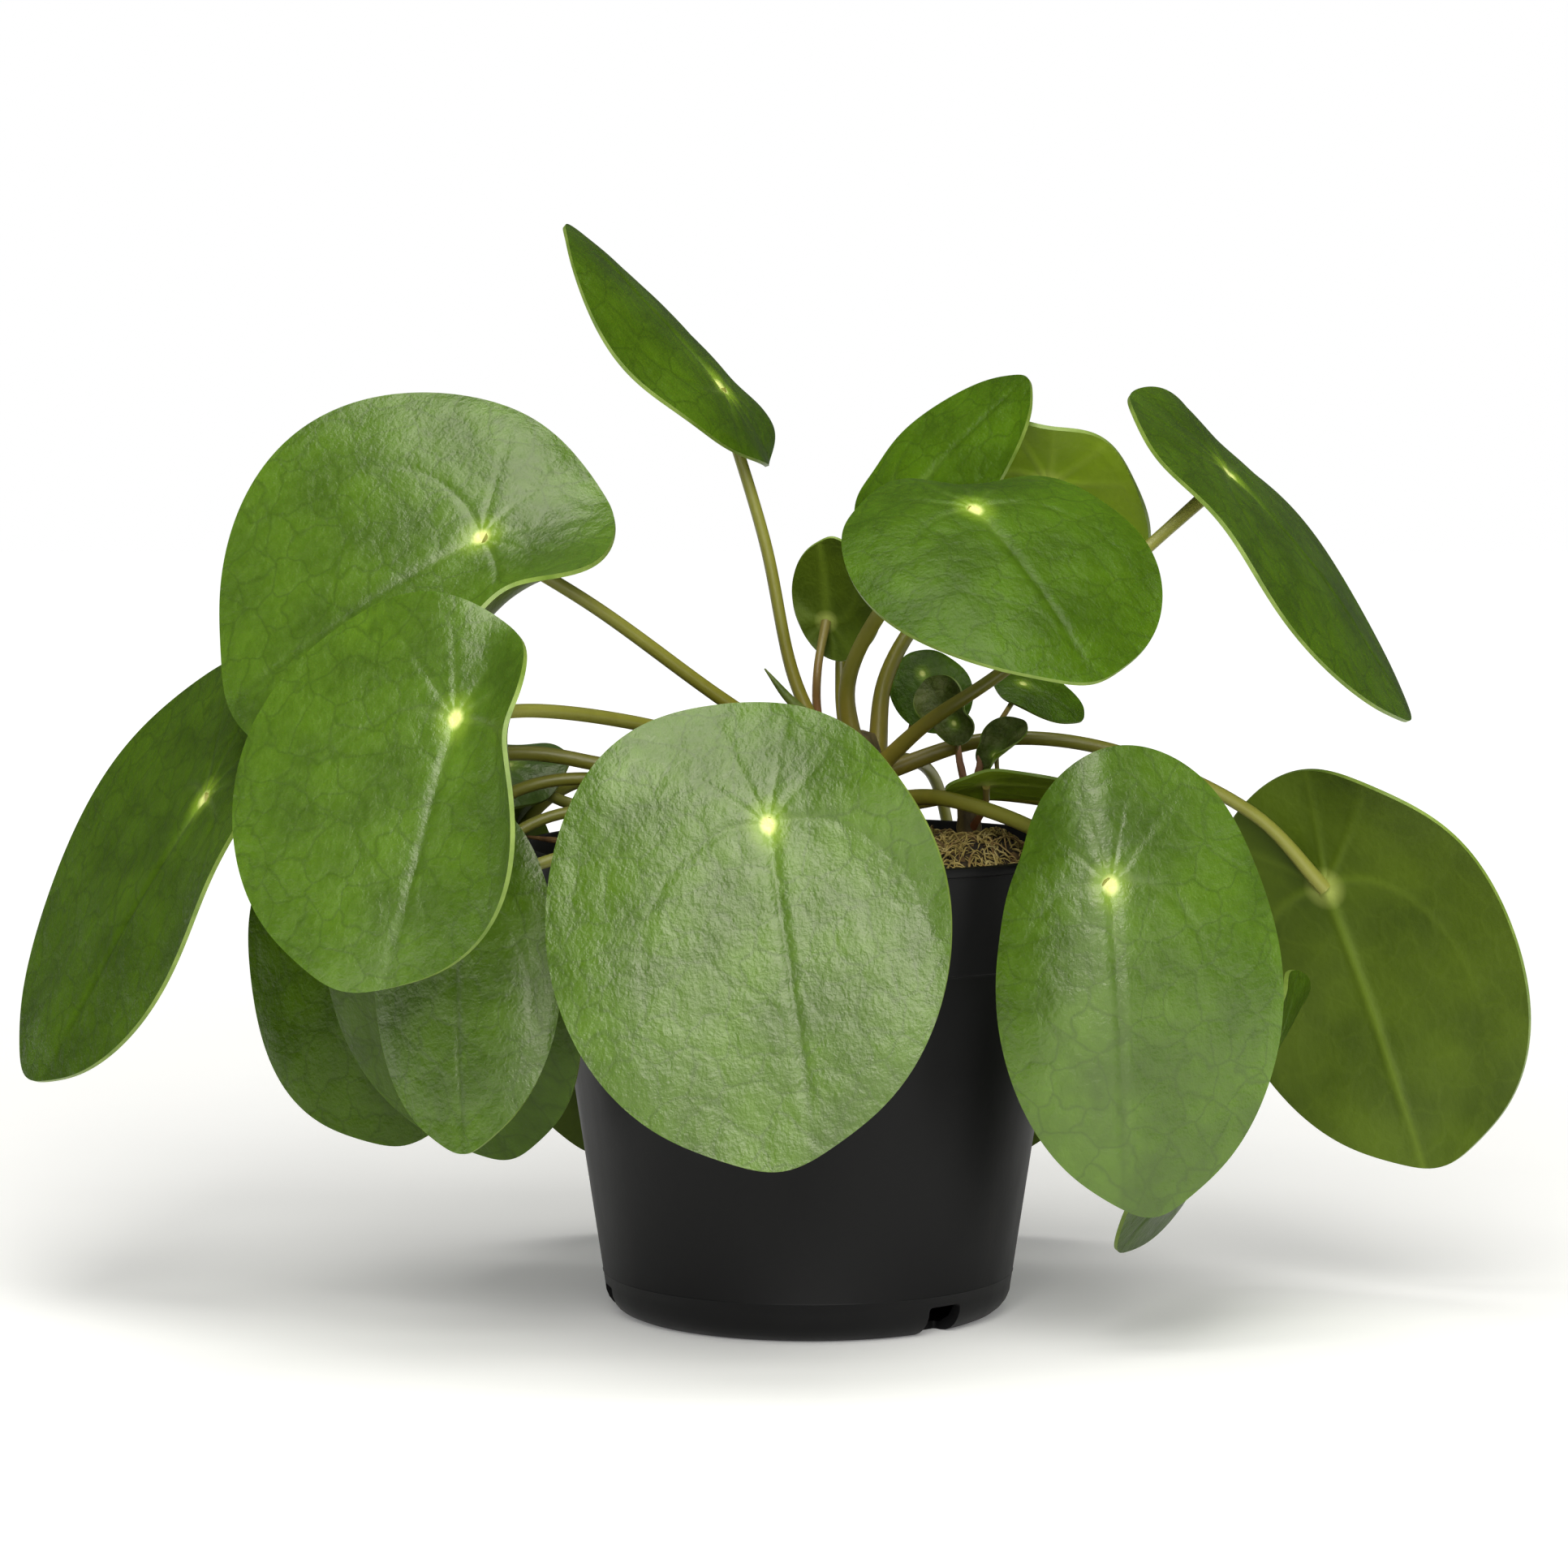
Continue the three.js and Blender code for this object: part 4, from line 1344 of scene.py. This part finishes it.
    def make_strands(self, name: str, kind: str, count: int, longest: float,
                     thickest: float) -> bpy.types.Object:
        """Model the fibres of roots all over the mound, or the strands of moss on its tufts.

        Args:
            name: the piece's name.
            kind: its finish; moss keeps to the tufts.
            count: number of strands.
            longest: length of the longest strand, in millimetres.
            thickest: radius of the thickest strand, in millimetres.

        Returns:
            One piece that holds them all.
        """
        points, polygons = [], []
        sides, joints = self.strand_sides, self.strand_joints
        for i in range(count):
            x, y = self.near_tuft(i) if kind == "moss" else self.spot(i, 31)[:2]
            heading = 6.3 * seeded(i, 33)
            length = longest * (0.3 + 0.7 * seeded(i, 34))
            radius = thickest * (0.4 + 0.6 * seeded(i, 35))
            curl = 2.0 * (seeded(i, 36) - 0.5)
            arch = 1.6 * seeded(i, 37)
            start = len(points)
            for j in range(joints):
                t = j / (joints - 1)
                ground = self.surface(x, y) if math.hypot(x, y) < self.reach else self.edge_height
                rise = 0.3 + arch * math.sin(math.pi * t)
                side = Vector((-math.sin(heading), math.cos(heading), 0))
                for k in range(sides):
                    a = 2 * math.pi * k / sides
                    thin = radius * (0.35 if j in (0, joints - 1) else 1.0)
                    offset = side * (thin * math.cos(a)) + Vector((0, 0, thin * math.sin(a)))
                    points.append(tuple((Vector((x, y, ground + rise)) + offset) / METRE))
                heading += curl / joints
                x += math.cos(heading) * length / joints
                y += math.sin(heading) * length / joints
                if math.hypot(x, y) > self.reach - 1:
                    heading += 1.2
                    x, y = x * 0.96, y * 0.96
            for j in range(joints - 1):
                for k in range(sides):
                    a, b = start + j * sides + k, start + j * sides + (k + 1) % sides
                    polygons.append((a, b, b + sides, a + sides))
            polygons.append(tuple(start + k for k in reversed(range(sides))))
            polygons.append(tuple(start + (joints - 1) * sides + k for k in range(sides)))
        strands = mesh_piece(name, points, polygons, self.materials[kind])
        weld_caps(strands)
        finish_piece(strands, "peat")
        return strands


# ------------------------------------------------------------------ studio


@dataclass(frozen=True)
class SoftLight:
    """One soft square light: its place and side in metres, and its power in watts."""

    name: str
    where: Point
    size: float
    power: float


@dataclass
class Studio:
    """A pale floor, soft lights and the camera, in metres.

    fill is the light from all round, and glow is the light that the floor adds near the
    plant and far from it.
    """

    lens: float = 115.5
    sensor: float = 36.0
    eye: Point = (-0.005, -1.040, 0.199)
    pitch: float = 4.9
    fill: float = 0.1
    warmth: str = "#fffefa"
    floor_size: float = 8.0
    glow: tuple[float, float] = (0.16, 0.95)
    glow_reach: tuple[float, float] = (0.1, 1.3)
    target: Point = (0.0, 0.0, 0.12)
    lights: tuple[SoftLight, ...] = (
        SoftLight("front", (0.08, -1.4, 1.0), 1.25, 30.0),
        SoftLight("top", (-0.05, -0.3, 1.5), 1.0, 13.0),
    )

    def make_floor(self) -> None:
        """Lay the pale floor, lit from below a little more the further it lies from the plant."""
        deselect()
        bpy.ops.mesh.primitive_plane_add(size=self.floor_size, location=(0, 0, 0))
        floor = bpy.context.object
        floor.name = "floor"
        # Matt painted board: off-white, with no grain to see.
        pale = TwoTone("pale_floor", ("#eeeeec", "#f4f4f2"), 300, 0.02, 2.0, 0.8).build()
        tree = pale.node_tree
        shader = tree.nodes["Principled BSDF"]
        where = add(tree, "TexCoord").outputs["Object"]
        away = add(tree, "VectorMath", {0: where}, operation="LENGTH").outputs["Value"]
        glow = add(tree, "MapRange", {0: away, 1: self.glow_reach[0], 2: self.glow_reach[1],
                                      3: self.glow[0], 4: self.glow[1]}).outputs[0]
        dress(tree, shader, {"Emission Strength": glow}, {"Emission Color": linear("#ffffff")})
        floor.data.materials.append(pale)

    def make_light(self, light: SoftLight) -> None:
        """Hang one soft light, facing the plant.

        Args:
            light: its place, size and power.
        """
        data = bpy.data.lights.new(light.name, "AREA")
        data.shape = "SQUARE"
        data.size = light.size
        data.energy = light.power
        data.color = linear(self.warmth)[:3]
        lamp = bpy.data.objects.new(light.name, data)
        lamp.location = light.where
        aim = Vector(self.target) - Vector(light.where)
        lamp.rotation_euler = aim.to_track_quat("-Z", "Y").to_euler()
        bpy.context.scene.collection.objects.link(lamp)

    def make_world(self) -> None:
        """Fill the surroundings with an even light, and show them as a white backdrop."""
        world = bpy.data.worlds.new("studio")
        world.use_nodes = True
        tree = world.node_tree
        background = tree.nodes["Background"]
        background.inputs["Color"].default_value = linear("#ffffff")
        seen = add(tree, "LightPath").outputs["Is Camera Ray"]
        strength = add(tree, "MapRange", {0: seen, 3: self.fill, 4: 1.0}).outputs[0]
        tree.links.new(strength, background.inputs["Strength"])
        bpy.context.scene.world = world
        bpy.context.scene.view_settings.view_transform = "Standard"

    def make_camera(self) -> None:
        """Set up the camera in front of the plant, tipped a little down."""
        data = bpy.data.cameras.new("camera")
        data.lens = self.lens
        data.sensor_width = self.sensor
        camera = bpy.data.objects.new("camera", data)
        camera.location = self.eye
        camera.rotation_euler = (math.radians(90 - self.pitch), 0, 0)
        bpy.context.scene.collection.objects.link(camera)
        bpy.context.scene.camera = camera

    def make(self) -> None:
        """Set up the whole studio."""
        self.make_floor()
        self.make_world()
        for light in self.lights:
            self.make_light(light)
        self.make_camera()


# ------------------------------------------------------------------ the plant


def check_place(piece: bpy.types.Object, node: str) -> None:
    """Log how far a blade's box lies from its CAD node's.

    Args:
        piece: the finished blade.
        node: its CAD node.
    """
    corners = np.array(piece.bound_box)
    box = np.array([corners.min(0), corners.max(0)])
    off = np.abs(box - np.array([tuple(corner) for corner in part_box(node)])).max()
    LOG.info("%s is within %.1f mm of %s", piece.name, off * METRE, node)


def main() -> None:
    """Build the studio and the plant, piece by piece."""
    logging.basicConfig(level=logging.INFO, format="%(message)s")
    Studio().make()
    pot = NurseryPot()
    pot.make()
    peat = Peat(pot)
    peat.prepare()
    peat.make_ball()
    peat.make_crumbs()
    peat.make_strands("root_fibres", "fibre", peat.fibres, 13.0, 0.25)
    peat.make_strands("moss_strands", "moss", peat.moss, 5.5, 0.22)
    stems = StemMaker()
    stems.make(TRUNK)
    stems.make(SHOOT)
    rods = RodMaker()
    stalks = StalkMaker(rods)
    stalks.prepare()
    blades = BladeMaker()
    blades.prepare()
    for index, leaf in enumerate(LEAVES):
        check_place(blades.make(leaf, index), f"leaf_{leaf.name}")
        stalks.make(leaf)
    blades.clear()
    for spike in SPIKES:
        make_spike(spike, rods)


if __name__ == "__main__":
    main()
